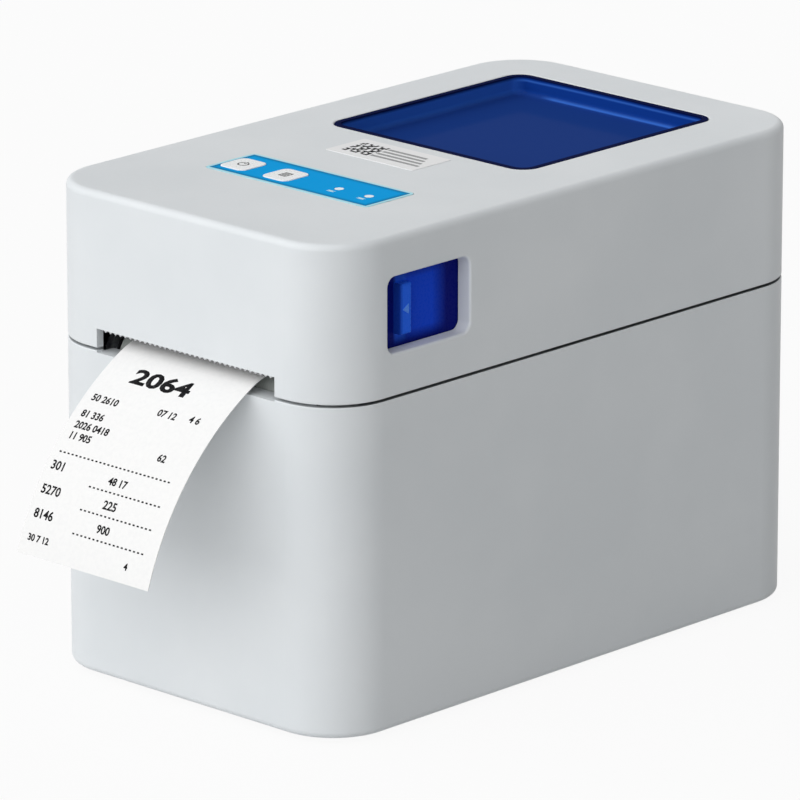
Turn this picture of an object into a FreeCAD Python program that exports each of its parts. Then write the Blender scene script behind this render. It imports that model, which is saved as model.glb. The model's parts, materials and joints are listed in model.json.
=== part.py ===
import FreeCAD, Part
import math
import os

V = FreeCAD.Vector

# Housing
CASE_W = 112.0
CASE_D = 191.5
CASE_H = 137.8
CORNER_R = 18.4
EDGE_R = 2.0
WALL = 2.5
COVER_H = 44.45
PART_GAP = 0.8
PART_EDGE_R = 0.35

# Fits and free gaps, each side
SEAT = 0.02
RUN = 0.05
SLIP = 0.15
FREE = 0.3

# Rubber feet
FOOT_H = 1.5
FOOT_R = 7.0
FOOT_SINK = 0.5
FOOT_IN = 16.0

# Paper path
PAPER_W = 50.0
PAPER_T = 0.2
NIP = 0.1
WEB_UP = 3.75
ROLL_AIR = 2.5
CORE_BORE_R = 12.7
CORE_WALL = 2.0
CURL_START = 3.0
NEAR_CURL_R = 21.0
NEAR_CURL_DEG = 28.5
FAR_CURL_R = 84.0
FAR_CURL_DEG = 43.5

# Label exit
SLOT_W = 67.6
SLOT_UP = 5.95
SLOT_DOWN = 0.85
LIP_T = 2.6
LIP_GAP = 0.45

# Platen and its drive
PLATEN_IN = 13.75
PLATEN_R = 7.0
DRIVE_ROOM = 8.5
SHAFT_R = 2.5
BUSH_R = 4.0
BUSH_FLANGE_R = 5.2
BUSH_FLANGE_T = 1.0
MODULE = 0.8
PLATEN_TEETH = 20
IDLER_TEETH = 24
PINION_TEETH = 12
GEAR_T = 5.0
GEAR_AIR = 2.0
GEAR_PLAY = 0.08
IDLER_DIR_DEG = -55.0
PINION_DIR_DEG = -50.0
IDLER_PIN_R = 1.5
MOTOR_R = 17.5
MOTOR_L = 19.0
MOTOR_SHAFT_R = 1.25
MOTOR_BOSS_R = 5.0
MOTOR_SCREW_OUT = 12.5

# Tooth form shared by gears and racks
PRESSURE = math.radians(20.0)
ADDENDUM = 0.8
DEDENDUM = 1.05
TOOTH_PLAY = 0.12
FLANK_STEPS = 4

# Mechanism frame
FRAME_T = 2.0
FRAME_AIR = 4.0
FRAME_DROP = 5.6
FRAME_REAR = 1.0
MOTOR_AIR = 4.4
EAR_R = 6.5
POST_R = 4.0
POST_IN = 6.0
GUIDE_PLATE_T = 2.0
GUIDE_PLATE_DROP = 1.1
GUIDE_PLATE_Y0 = 9.0
GUIDE_PLATE_Y1 = 34.0
SENSOR_W = 12.0
SENSOR_L = 6.0
SENSOR_H = 6.0
SENSOR_BACK = 19.0
SENSOR_EYE_R = 1.2

# Inner deck round the mechanism
DECK_T = 2.0
HUMP_T = 1.2
HUMP_AIR = 0.5
HOOK_AIR = 1.2

# Roll bin and roll guides
BIN_T = 2.0
BIN_AIR = 3.0
BIN_REAR_ROOM = 10.5
BIN_END_GAP = 1.5
BIN_FLOOR_UP = 12.0
BIN_FLAT = 44.0
BIN_SLOPE_UP = 30.0
BIN_TOP_DROP = 2.5
BIN_BOSS_R = 4.0
BIN_BOSS_IN = 13.5
BIN_BOSS_Y = 18.0
GUIDE_T = 3.0
GUIDE_W = 20.0
GUIDE_HEAD_R = 15.0
GUIDE_RIB_T = 3.0
GUIDE_RIB_W = 4.0
GUIDE_RIB_H = 32.0
GUIDE_TRAVEL = 5.5
HUB_L = 6.0
RACK_MODULE = 1.0
RACK_TEETH = 14
RACK_H = 4.0
RACK_UP = 2.5
RACK_BACK = 4.0
RACK_REACH = 12.0
STUB_R = 2.0

# Boards, sockets and switch on the rear wall
BOARD_T = 1.6
BOARD_UP = 5.0
BOARD_SIDE = 8.5
BOARD_L = 29.0
BOARD_GAP = 2.0
BOARD_HOLE_IN = 4.5
BOARD_BOSS_R = 3.0
CHIPS = ((-25.0, 10.0), (-2.0, 7.0), (21.0, 5.0))
JACK_IN = 35.0
JACK_W = 9.5
JACK_L = 13.5
JACK_H = 11.0
JACK_COLLAR_R = 4.2
JACK_BORE_R = 2.9
JACK_BORE_L = 9.5
JACK_PIN_R = 1.05
USB_X = 4.0
USB_W = 12.0
USB_L = 16.0
USB_H = 10.8
USB_MOUTH_W = 8.6
USB_MOUTH_H = 7.8
USB_MOUTH_L = 9.0
USB_TONGUE_W = 5.6
USB_TONGUE_H = 3.0
ROCKER_IN = 24.0
ROCKER_UP = 22.0
ROCKER_W = 19.0
ROCKER_H = 13.0
ROCKER_L = 13.0
ROCKER_RIM = 1.5
ROCKER_RIM_T = 1.2
ROCKER_WALL = 1.6
ROCKER_TILT = 8.0
ROCKER_PROUD = 1.5
ROCKER_PIVOT_R = 1.2

# Screws
SCREW_R = 1.5
SCREW_HEAD_R = 2.8
SCREW_HEAD_H = 1.5
SCREW_SINK = 1.8
SCREW_BITE = 6.0

# Hinge
KNUCKLE_R = 4.0
KNUCKLE_IN = 24.0
COVER_KNUCKLE_W = 7.4
BASE_KNUCKLE_W = 4.0
HINGE_PIN_R = 1.5
GUSSET_H = 9.0

# Window tray
WINDOW_X = -1.6
WINDOW_W = 75.2
WINDOW_L = 79.4
WINDOW_MARGIN = 17.0
WINDOW_R = 5.5
WINDOW_DEPTH = 5.5
WINDOW_T = 1.8
WINDOW_FLANGE = 3.0
WINDOW_LIP = 0.05
WELL_R = 1.8
RIM_R = 0.6

# Control panel
PANEL_W = 61.4
PANEL_L = 19.8
PANEL_IN = 38.25
PANEL_R = 1.5
PANEL_T = 0.7
PANEL_SINK = 0.6
KEY_W = 9.6
KEY_L = 10.6
KEY_R = 2.2
KEY_PROUD = 0.3
KEY_TRAVEL = 0.6
KEY_EDGE_R = 0.25
KEY_SKIRT = 1.2
KEY_SKIRT_T = 1.4
KEY_STEM = 4.5
POWER_KEY_X = -24.2
FEED_KEY_X = -8.0
KEY_BACK = 9.0
LED_R = 1.3
LED_X = (12.2, 23.4)
LED_BACK = 9.0
PANEL_BOARD_SIDE = 15.5
PANEL_BOARD_L = 14.0
PANEL_BOARD_BACK = 2.3
PANEL_BOSS_R = 2.4
PANEL_BOSS_IN = 4.0
SWITCH_SIDE = 6.0
SWITCH_H = 1.6

# White sticker on the roof
STICKER_W = 33.0
STICKER_L = 15.5
STICKER_T = 0.12
STICKER_X = -3.0
STICKER_BACK = 5.0

# Side latch
RECESS_IN = 20.6
RECESS_L = 31.8
RECESS_H = 21.2
RECESS_DROP = 11.2
RECESS_DEPTH = 4.5
RECESS_R = 2.8
RECESS_RIM_R = 0.7
COLLAR_T = 2.0
LATCH_FLANGE_T = 1.2
LATCH_T = 2.5
LATCH_LAP = 2.0
LATCH_TRAVEL = 4.0
RIB_IN = 7.2
RIB_W = 4.2
RIB_H = 2.6
RIB_MARGIN = 3.6
RIB_EDGE_R = 0.6
RAIL_T = 2.0
RAIL_LIP = 1.4
RAIL_REACH = 2.5
ARM_IN = 7.6
ARM_W = 6.0
NOSE_L = 3.4
NOSE_H = 2.0
NOSE_GAP = 0.6
KEEPER_R = 2.0
KEEPER_DROP = 4.85
TAB_T = 2.0
TAB_H = 6.0
TAB_REACH = 4.7
LATCH_SPRING_R = 2.0
LATCH_SPRING_WALL = 0.6
LATCH_SPRING_L = 12.0
LATCH_SPRING_IN = 8.0
STOP_T = 2.0
STOP_W = 4.5

# Print head and tear bar
CARRIER_UP = 13.4
CARRIER_T = 2.0
CARRIER_FRONT = 8.0
CARRIER_L = 40.0
CARRIER_OUT = 2.0
CARRIER_BOSS_R = 3.5
CARRIER_BOSS_IN = 6.0
CHEEK_T = 2.0
CHEEK_W = 9.0
CHEEK_DROP = 9.0
PIVOT_BACK = 18.0
PIVOT_UP = 7.9
PIVOT_R = 1.5
HEAD_L = 10.0
HEAD_T = 1.1
HEAD_OVERHANG = 2.0
HEAD_GAP = 0.15
BRACKET_T = 3.0
BRACKET_OVERHANG = 5.0
BRACKET_FRONT = 8.0
HEAD_SPRING_R = 3.0
HEAD_SPRING_WALL = 0.7
HEAD_SPRING_X = 18.0
TEAR_T = 1.0
TEAR_H = 9.5
TEAR_IN = 0.8
TEAR_SKIN = 1.0
TOOTH_PITCH = 1.9
TOOTH_H = 0.8
TOOTH_SHOW = 1.0

# Levels and places worked out from the sizes above
HALF_W = CASE_W / 2
FRONT = -CASE_D / 2
REAR = CASE_D / 2
BOTTOM = FOOT_H
TOP = FOOT_H + CASE_H
FLOOR = BOTTOM + WALL
ROOF = TOP - WALL
PART_Z = TOP - COVER_H
BASE_TOP = PART_Z - PART_GAP / 2
COVER_LOW = PART_Z + PART_GAP / 2
FRONT_IN = FRONT + WALL
REAR_IN = REAR - WALL
SIDE_IN = HALF_W - WALL

HALF_PAPER = PAPER_W / 2
WEB_Z = PART_Z + WEB_UP
PLATEN_Y = FRONT + PLATEN_IN
PLATEN_Z = WEB_Z - NIP - PLATEN_R
WINDOW_X0 = WINDOW_X - WINDOW_W / 2
WINDOW_X1 = WINDOW_X + WINDOW_W / 2
WINDOW_Y1 = REAR - WINDOW_MARGIN
WINDOW_Y0 = WINDOW_Y1 - WINDOW_L
BIN_FLOOR = FLOOR + BIN_FLOOR_UP
ROLL_R = (WEB_Z - NIP - BIN_FLOOR - ROLL_AIR) / 2
ROLL_Y = REAR_IN - BIN_REAR_ROOM - BIN_T - BIN_AIR - ROLL_R
ROLL_Z = WEB_Z - NIP - ROLL_R
SLOT_LOW = PART_Z - SLOT_DOWN
SLOT_HIGH = PART_Z + SLOT_UP
LIP_REAR = PLATEN_Y - PLATEN_R - LIP_GAP

GEAR_OUT = SIDE_IN - DRIVE_ROOM
GEAR_IN = GEAR_OUT - GEAR_T
FRAME_OUT = GEAR_IN - GEAR_AIR
FRAME_IN = FRAME_OUT - FRAME_T
PLATEN_HALF = FRAME_IN - FRAME_AIR
PLATEN_GEAR_R = MODULE * PLATEN_TEETH / 2
IDLER_R = MODULE * IDLER_TEETH / 2
PINION_R = MODULE * PINION_TEETH / 2
IDLER_DIR = math.radians(IDLER_DIR_DEG)
PINION_DIR = math.radians(PINION_DIR_DEG)
IDLER_STEP = PLATEN_GEAR_R + IDLER_R + GEAR_PLAY
PINION_STEP = IDLER_R + PINION_R + GEAR_PLAY
IDLER_Y = PLATEN_Y + IDLER_STEP * math.cos(IDLER_DIR)
IDLER_Z = PLATEN_Z + IDLER_STEP * math.sin(IDLER_DIR)
MOTOR_Y = IDLER_Y + PINION_STEP * math.cos(PINION_DIR)
MOTOR_Z = IDLER_Z + PINION_STEP * math.sin(PINION_DIR)
FRAME_TOP = WEB_Z - FRAME_DROP
FRAME_LOW = MOTOR_Z - MOTOR_R - MOTOR_AIR
FRAME_Y0 = LIP_REAR + FREE
FRAME_Y1 = MOTOR_Y + MOTOR_R + FRAME_REAR
KEEPER_Z = PART_Z - KEEPER_DROP

BIN_END = SIDE_IN - BIN_END_GAP
BIN_BOSS_X = SIDE_IN - BIN_BOSS_IN
BIN_TOP = PART_Z - BIN_TOP_DROP
BIN_FRONT = ROLL_Y - ROLL_R - BIN_AIR - BIN_T
DECK_LOW = FRAME_TOP + SEAT
DECK_TOP = DECK_LOW + DECK_T
GUIDE_X = HALF_PAPER + FREE
RACK_Z = FLOOR + RACK_UP
RACK_PINION_R = RACK_MODULE * RACK_TEETH / 2
BOARD_W = 2 * (SIDE_IN - BOARD_SIDE)
BOARD_Y1 = REAR_IN - BOARD_GAP
BOARD_Y0 = BOARD_Y1 - BOARD_L
BOARD_Z = FLOOR + BOARD_UP
BOARD_TOP = BOARD_Z + BOARD_T
JACK_X = JACK_IN - HALF_W
ROCKER_X = HALF_W - ROCKER_IN
ROCKER_Z = FLOOR + ROCKER_UP
KNUCKLE_X = HALF_W - KNUCKLE_IN
CASE_FOOT_X = HALF_W - FOOT_IN
CASE_FOOT_Y = REAR - FOOT_IN

PANEL_Y0 = FRONT + PANEL_IN
PANEL_Y1 = PANEL_Y0 + PANEL_L
PANEL_Y = PANEL_Y0 + PANEL_L / 2
KEY_Y = PANEL_Y0 + KEY_BACK
LED_Y = PANEL_Y0 + LED_BACK
KEY_SKIRT_Z = ROOF - FREE - KEY_SKIRT_T
KEY_LOW = KEY_SKIRT_Z - KEY_STEM
PANEL_BOARD_W = 2 * (SIDE_IN - PANEL_BOARD_SIDE)
PANEL_BOARD_TOP = KEY_LOW - KEY_TRAVEL - FREE - SWITCH_H
PANEL_BOARD_Y0 = PANEL_Y - PANEL_BOARD_L / 2 + PANEL_BOARD_BACK

RECESS_Y0 = FRONT + RECESS_IN
RECESS_Y1 = RECESS_Y0 + RECESS_L
RECESS_Z1 = TOP - RECESS_DROP
RECESS_Z0 = RECESS_Z1 - RECESS_H
COLLAR_IN = HALF_W - RECESS_DEPTH
LATCH_OUT = COLLAR_IN - FREE
LATCH_IN = LATCH_OUT - LATCH_T
LATCH_Y0 = RECESS_Y0 - LATCH_LAP
LATCH_Y1 = RECESS_Y1 + LATCH_LAP + LATCH_TRAVEL
LATCH_Z0 = RECESS_Z0 - LATCH_LAP
LATCH_Z1 = RECESS_Z1 + LATCH_LAP
ARM_Y0 = RECESS_Y0 + ARM_IN
ARM_Y1 = ARM_Y0 + ARM_W
NOSE_TIP = ARM_Y1 + NOSE_L
KEEPER_Y = NOSE_TIP + NOSE_GAP + KEEPER_R
NOSE_TOP = KEEPER_Z - KEEPER_R - FREE
LATCH_SPRING_Y1 = RECESS_Y1 - LATCH_SPRING_IN
LATCH_SPRING_Y0 = LATCH_SPRING_Y1 - LATCH_SPRING_L
LATCH_SPRING_X = LATCH_IN - TAB_REACH / 2
LATCH_MID_Z = (RECESS_Z0 + RECESS_Z1) / 2

HEAD_LOW = WEB_Z + PAPER_T + HEAD_GAP
BRACKET_LOW = HEAD_LOW + HEAD_T
BRACKET_TOP = BRACKET_LOW + BRACKET_T
BRACKET_HALF = HALF_PAPER + BRACKET_OVERHANG
CARRIER_LOW = WEB_Z + CARRIER_UP
CARRIER_Y0 = PLATEN_Y - CARRIER_FRONT
CARRIER_Y1 = CARRIER_Y0 + CARRIER_L
CARRIER_HALF = FRAME_OUT + CARRIER_OUT
PIVOT_Y = PLATEN_Y + PIVOT_BACK
PIVOT_Z = WEB_Z + PIVOT_UP
TEAR_LOW = SLOT_HIGH - TOOTH_SHOW
TEAR_Y = FRONT + TEAR_SKIN


# Shape helpers
def box(x0, x1, y0, y1, z0, z1):
    return Part.makeBox(x1 - x0, y1 - y0, z1 - z0, V(x0, y0, z0))


def rod_x(radius, x0, x1, y, z):
    return Part.makeCylinder(radius, x1 - x0, V(x0, y, z), V(1, 0, 0))


def rod_y(radius, y0, y1, x, z):
    return Part.makeCylinder(radius, y1 - y0, V(x, y0, z), V(0, 1, 0))


def rod_z(radius, z0, z1, x, y):
    return Part.makeCylinder(radius, z1 - z0, V(x, y, z0), V(0, 0, 1))


def prism(points, sweep):
    wire = Part.makePolygon(points + points[:1])
    return Part.Face(wire).extrude(sweep)


def join(first, *others):
    return first.fuse(list(others)).removeSplitter()


def mirrored(shape):
    return shape.mirror(V(0, 0, 0), V(1, 0, 0))


def rounded_plate(x0, x1, y0, y1, z0, z1, radius):
    """Upright block with its four standing edges rounded."""
    plate = box(x0, x1, y0, y1, z0, z1)
    standing = [e for e in plate.Edges if abs(e.BoundBox.ZLength - (z1 - z0)) < 1e-6]
    return plate.makeFillet(radius, standing)


def side_plate(x0, x1, y0, y1, z0, z1, radius):
    """Block with its four edges along X rounded."""
    plate = box(x0, x1, y0, y1, z0, z1)
    along = [e for e in plate.Edges if e.BoundBox.YLength + e.BoundBox.ZLength < 1e-6]
    return plate.makeFillet(radius, along)


def edges_at_level(shape, level):
    """Edges that lie flat at one height."""
    return [e for e in shape.Edges
            if abs(e.BoundBox.ZMin - level) < 1e-6 and abs(e.BoundBox.ZMax - level) < 1e-6]


def edges_on_side(shape, x, y0, y1, z0, z1):
    """Edges in the upright plane at x, inside the given window."""
    found = []
    for edge in shape.Edges:
        b = edge.BoundBox
        flat = abs(b.XMin - x) < 1e-6 and abs(b.XMax - x) < 1e-6
        if flat and b.YMin > y0 and b.YMax < y1 and b.ZMin > z0 and b.ZMax < z1:
            found.append(edge)
    return found


def screw_down(x, y, seat, length):
    """Pan-head screw whose head sits on a seat and whose shank points down."""
    head = rod_z(SCREW_HEAD_R, seat, seat + SCREW_HEAD_H, x, y)
    return join(head, rod_z(SCREW_R, seat - length, seat, x, y))


def screw_up(x, y, seat, length):
    """Pan-head screw whose head hangs below a seat and whose shank points up."""
    head = rod_z(SCREW_HEAD_R, seat - SCREW_HEAD_H, seat, x, y)
    return join(head, rod_z(SCREW_R, seat, seat + length, x, y))


def spread(half_x, y0, y1):
    """Four points, two each side of the middle plane."""
    return [(side * half_x, y) for side in (-1, 1) for y in (y0, y1)]


# Gear teeth
def gear_outline(teeth, module, phase):
    """Points of a spur gear's outline, with one tooth centred on the phase angle."""
    pitch_r = module * teeth / 2
    base_r = pitch_r * math.cos(PRESSURE)
    tip_r = pitch_r + ADDENDUM * module
    root_r = pitch_r - DEDENDUM * module
    start_r = max(base_r, root_r)
    half_tooth = math.pi / (2 * teeth) - TOOTH_PLAY / (2 * pitch_r)
    half_base = half_tooth + math.tan(PRESSURE) - PRESSURE
    flank = [(root_r, half_base)] if root_r < base_r else []
    for step in range(FLANK_STEPS + 1):
        radius = start_r + (tip_r - start_r) * step / FLANK_STEPS
        roll = math.acos(min(1.0, base_r / radius))
        flank.append((radius, half_base - math.tan(roll) + roll))
    outline = []
    for tooth in range(teeth):
        centre = phase + 2 * math.pi * tooth / teeth
        for radius, half in flank:
            outline.append((radius * math.cos(centre - half), radius * math.sin(centre - half)))
        for radius, half in reversed(flank):
            outline.append((radius * math.cos(centre + half), radius * math.sin(centre + half)))
    return outline


def side_gear(teeth, phase, y, z, bore):
    """Drive gear on the left of the frame, turning about an axis along X."""
    outline = [V(-GEAR_OUT, y + a, z + b) for a, b in gear_outline(teeth, MODULE, phase)]
    return prism(outline, V(GEAR_T, 0, 0)).cut(rod_x(bore, -GEAR_OUT, -GEAR_IN, y, z))


def rack_bar(x0, x1, pitch_y, back_y, z0, z1):
    """Toothed bar along X with a gap between teeth at x = 0."""
    facing = 1 if pitch_y > back_y else -1
    pitch = math.pi * RACK_MODULE
    tip = ADDENDUM * RACK_MODULE
    root = DEDENDUM * RACK_MODULE
    slant = math.tan(PRESSURE)
    half = (pitch - 2 * TOOTH_PLAY) / 4
    first = math.ceil((x0 + pitch / 2) / pitch - 0.5)
    last = math.floor((x1 - pitch / 2) / pitch - 0.5)
    line = [V(x0, back_y, z0), V(x0, pitch_y - facing * root, z0)]
    for tooth in range(first, last + 1):
        middle = (tooth + 0.5) * pitch
        line.append(V(middle - half - root * slant, pitch_y - facing * root, z0))
        line.append(V(middle - half + tip * slant, pitch_y + facing * tip, z0))
        line.append(V(middle + half - tip * slant, pitch_y + facing * tip, z0))
        line.append(V(middle + half + root * slant, pitch_y - facing * root, z0))
    line += [V(x1, pitch_y - facing * root, z0), V(x1, back_y, z0)]
    return prism(line, V(0, 0, z1 - z0))


# Lower housing
def knuckle_spans():
    """Base ears and cover ears along the hinge, as pairs of x limits."""
    base_spans = []
    cover_spans = []
    for centre in (-KNUCKLE_X, KNUCKLE_X):
        half = COVER_KNUCKLE_W / 2
        cover_spans.append((centre - half, centre + half))
        base_spans.append((centre - half - FREE - BASE_KNUCKLE_W, centre - half - FREE))
        base_spans.append((centre + half + FREE, centre + half + FREE + BASE_KNUCKLE_W))
    return base_spans, cover_spans


def base_ear(x0, x1):
    """Barrel behind the rear wall on a sloped gusset."""
    barrel = rod_x(KNUCKLE_R, x0, x1, REAR, PART_Z)
    profile = [
        V(x0, REAR - WALL / 2, PART_Z - KNUCKLE_R - GUSSET_H),
        V(x0, REAR, PART_Z - KNUCKLE_R - GUSSET_H),
        V(x0, REAR + KNUCKLE_R, PART_Z - KNUCKLE_R),
        V(x0, REAR + KNUCKLE_R, PART_Z),
        V(x0, REAR - WALL / 2, PART_Z),
    ]
    return join(barrel, prism(profile, V(x1 - x0, 0, 0)))


def bin_boss_points():
    return spread(BIN_BOSS_X, ROLL_Y - BIN_BOSS_Y, ROLL_Y + BIN_BOSS_Y)


def board_boss_points():
    half = BOARD_W / 2 - BOARD_HOLE_IN
    return spread(half, BOARD_Y0 + BOARD_HOLE_IN, BOARD_Y1 - BOARD_HOLE_IN)


def post_points():
    half = FRAME_IN - POST_IN
    return spread(half, FRAME_Y0 + POST_IN, FRAME_Y1 - POST_IN)


def foot_points():
    return spread(CASE_FOOT_X, -CASE_FOOT_Y, CASE_FOOT_Y)


def base_case():
    outer = rounded_plate(-HALF_W, HALF_W, FRONT, REAR, BOTTOM, BASE_TOP, CORNER_R)
    outer = outer.makeFillet(EDGE_R, edges_at_level(outer, BOTTOM))
    outer = outer.makeFillet(PART_EDGE_R, edges_at_level(outer, BASE_TOP))
    inner_r = CORNER_R - WALL
    hollow = rounded_plate(-SIDE_IN, SIDE_IN, FRONT_IN, REAR_IN, FLOOR, PART_Z, inner_r)
    case = outer.cut(hollow)
    lip = box(-SLOT_W / 2, SLOT_W / 2, FRONT + WALL / 2, LIP_REAR, SLOT_LOW - LIP_T, SLOT_LOW)
    mouth = box(-SLOT_W / 2, SLOT_W / 2, FRONT - WALL, FRONT_IN, SLOT_LOW, PART_Z)
    case = join(case.cut(mouth), lip)

    added = []
    holes = []
    for x, y in bin_boss_points():
        holes.append(rod_z(SCREW_R + RUN, BOTTOM, FLOOR, x, y))
        holes.append(rod_z(SCREW_HEAD_R + SLIP, BOTTOM - WALL, BOTTOM + SCREW_SINK, x, y))
    for x, y in foot_points():
        holes.append(rod_z(FOOT_R + SLIP, BOTTOM - WALL, BOTTOM + FOOT_SINK, x, y))

    base_spans, cover_spans = knuckle_spans()
    for x0, x1 in base_spans:
        added.append(base_ear(x0, x1))
        holes.append(rod_x(HINGE_PIN_R + SEAT, x0, x1, REAR, PART_Z))
    for x0, x1 in cover_spans:
        holes.append(rod_x(KNUCKLE_R + FREE, x0 - FREE, x1 + FREE, REAR, PART_Z))

    jack_z = BOARD_TOP + JACK_H / 2
    holes.append(rod_y(JACK_COLLAR_R + SLIP, REAR_IN - WALL, REAR + WALL, JACK_X, jack_z))
    usb_low = BOARD_TOP - SLIP
    usb_high = BOARD_TOP + USB_H + SLIP
    usb_half = USB_W / 2 + SLIP
    holes.append(box(USB_X - usb_half, USB_X + usb_half, REAR_IN - WALL, REAR + WALL, usb_low, usb_high))
    rocker_half = ROCKER_W / 2 + SLIP
    rocker_low = ROCKER_Z - ROCKER_H / 2 - SLIP
    rocker_high = ROCKER_Z + ROCKER_H / 2 + SLIP
    holes.append(box(ROCKER_X - rocker_half, ROCKER_X + rocker_half,
                     REAR_IN - WALL, REAR + WALL, rocker_low, rocker_high))
    return join(case, *added).cut(holes)


def base_posts():
    """Pillars on the floor under the roll bin, the main board and the mechanism frame."""
    posts = []
    for x, y in bin_boss_points():
        sleeve = rod_z(BIN_BOSS_R, FLOOR, BIN_FLOOR - BIN_T, x, y)
        posts.append(sleeve.cut(rod_z(SCREW_R + RUN, FLOOR, BIN_FLOOR - BIN_T, x, y)))
    for x, y in board_boss_points():
        sleeve = rod_z(BOARD_BOSS_R, FLOOR, BOARD_Z, x, y)
        posts.append(sleeve.cut(rod_z(SCREW_R + RUN, FLOOR, BOARD_Z, x, y)))
    for x, y in post_points():
        pillar = rod_z(POST_R, FLOOR, FRAME_LOW, x, y)
        posts.append(pillar.cut(rod_z(SCREW_R + RUN, FRAME_LOW - SCREW_BITE - FREE, FRAME_LOW, x, y)))
    return Part.makeCompound(posts)


def rubber_feet():
    feet = []
    for x, y in foot_points():
        foot = rod_z(FOOT_R, 0, BOTTOM + FOOT_SINK, x, y)
        feet.append(foot.makeFillet(FOOT_H / 3, edges_at_level(foot, 0)))
    return Part.makeCompound(feet)


def bottom_screws():
    seat = BOTTOM + SCREW_SINK
    length = BIN_FLOOR - BIN_T / 2 - seat
    return Part.makeCompound([screw_up(x, y, seat, length) for x, y in bin_boss_points()])


# Roll bin, guides and label roll
def bin_face(x, grow):
    """Trough section at one end, pushed outwards by the wall's thickness."""
    half_top = ROLL_R + BIN_AIR
    half_flat = BIN_FLAT / 2
    lean = math.atan2(BIN_SLOPE_UP, half_top - half_flat)
    shift = grow * math.tan(lean / 2)
    drop = grow * math.tan((math.pi / 2 - lean) / 2)
    y_top = half_top + grow
    y_flat = half_flat + shift
    z_knee = BIN_FLOOR + BIN_SLOPE_UP - drop
    z_low = BIN_FLOOR - grow
    return [
        V(x, ROLL_Y - y_top, BIN_TOP),
        V(x, ROLL_Y - y_top, z_knee),
        V(x, ROLL_Y - y_flat, z_low),
        V(x, ROLL_Y + y_flat, z_low),
        V(x, ROLL_Y + y_top, z_knee),
        V(x, ROLL_Y + y_top, BIN_TOP),
    ]


def roll_bin():
    outside = prism(bin_face(-BIN_END, BIN_T), V(2 * BIN_END, 0, 0))
    inside = prism(bin_face(-BIN_END + BIN_T, 0.0), V(2 * (BIN_END - BIN_T), 0, 0))
    rim = deck_sheet(BIN_TOP - BIN_T, BIN_TOP)
    rim = rim.common(box(-CASE_W, CASE_W, BIN_FRONT, REAR, BOTTOM, TOP))
    stub = rod_z(STUB_R, FLOOR + FREE, BIN_FLOOR - BIN_T, 0, ROLL_Y)
    trough = join(outside, rim, stub).cut(inside)
    cuts = []
    base_spans, cover_spans = knuckle_spans()
    for x0, x1 in base_spans + cover_spans:
        cuts.append(rod_x(KNUCKLE_R + FREE, x0 - FREE, x1 + FREE, REAR, PART_Z))
    slot_y1 = ROLL_Y - RACK_PINION_R - DEDENDUM * RACK_MODULE
    slot_y0 = slot_y1 - RACK_BACK
    for turn in (0, 180):
        slot = box(GUIDE_X - FREE, GUIDE_X + GUIDE_T + GUIDE_TRAVEL + FREE,
                   slot_y0 - FREE, slot_y1 + FREE, BIN_FLOOR - 2 * BIN_T, BIN_FLOOR + BIN_T)
        slot.rotate(V(0, ROLL_Y, 0), V(0, 0, 1), turn)
        cuts.append(slot)
    for x, y in bin_boss_points():
        cuts.append(rod_z(SCREW_R + RUN, BIN_FLOOR - BIN_T, BIN_FLOOR - BIN_T / 2 + FREE, x, y))
    return trough.cut(cuts)


def deck_sheet(z0, z1):
    """Sheet that fills the housing's plan just inside its walls."""
    half_w = SIDE_IN - FREE
    return rounded_plate(-half_w, half_w, FRONT_IN + FREE, REAR_IN - FREE, z0, z1,
                         CORNER_R - WALL - FREE)


def front_deck():
    """Inner cover over the drive, open over the platen and the latch hooks."""
    sheet = deck_sheet(DECK_LOW, DECK_TOP)
    sheet = sheet.common(box(-CASE_W, CASE_W, FRONT, BIN_FRONT - FREE, BOTTOM, TOP))
    gear_reach = PLATEN_GEAR_R + ADDENDUM * MODULE + HUMP_AIR
    hood_y0 = PLATEN_Y - gear_reach
    hood_y1 = PLATEN_Y + gear_reach
    hood_top = PLATEN_Z + gear_reach
    hood_out = GEAR_OUT + FREE + HUMP_AIR
    humps = []
    cuts = [box(-FRAME_IN, FRAME_IN, FRONT, FRAME_Y1 - FRAME_T, DECK_LOW - DECK_T, DECK_TOP + DECK_T)]
    for side in (-1, 1):
        near = side * FRAME_IN
        far = side * (hood_out + HUMP_T)
        hump = box(min(near, far), max(near, far), hood_y0 - HUMP_T, hood_y1 + HUMP_T,
                   DECK_LOW, hood_top + HUMP_T)
        humps.append(hump.common(deck_sheet(DECK_LOW, hood_top + HUMP_T)))
        near = side * (FRAME_IN - FREE)
        far = side * hood_out
        cuts.append(box(min(near, far), max(near, far), hood_y0, hood_y1, DECK_LOW - DECK_T, hood_top))
        near = side * (LATCH_IN - HOOK_AIR)
        far = side * (LATCH_OUT + HOOK_AIR)
        cuts.append(box(min(near, far), max(near, far), ARM_Y0 - LATCH_TRAVEL - HOOK_AIR,
                        KEEPER_Y + KEEPER_R + HOOK_AIR, DECK_LOW - DECK_T, DECK_TOP + DECK_T))
    return join(sheet, *humps).cut(cuts)


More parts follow.
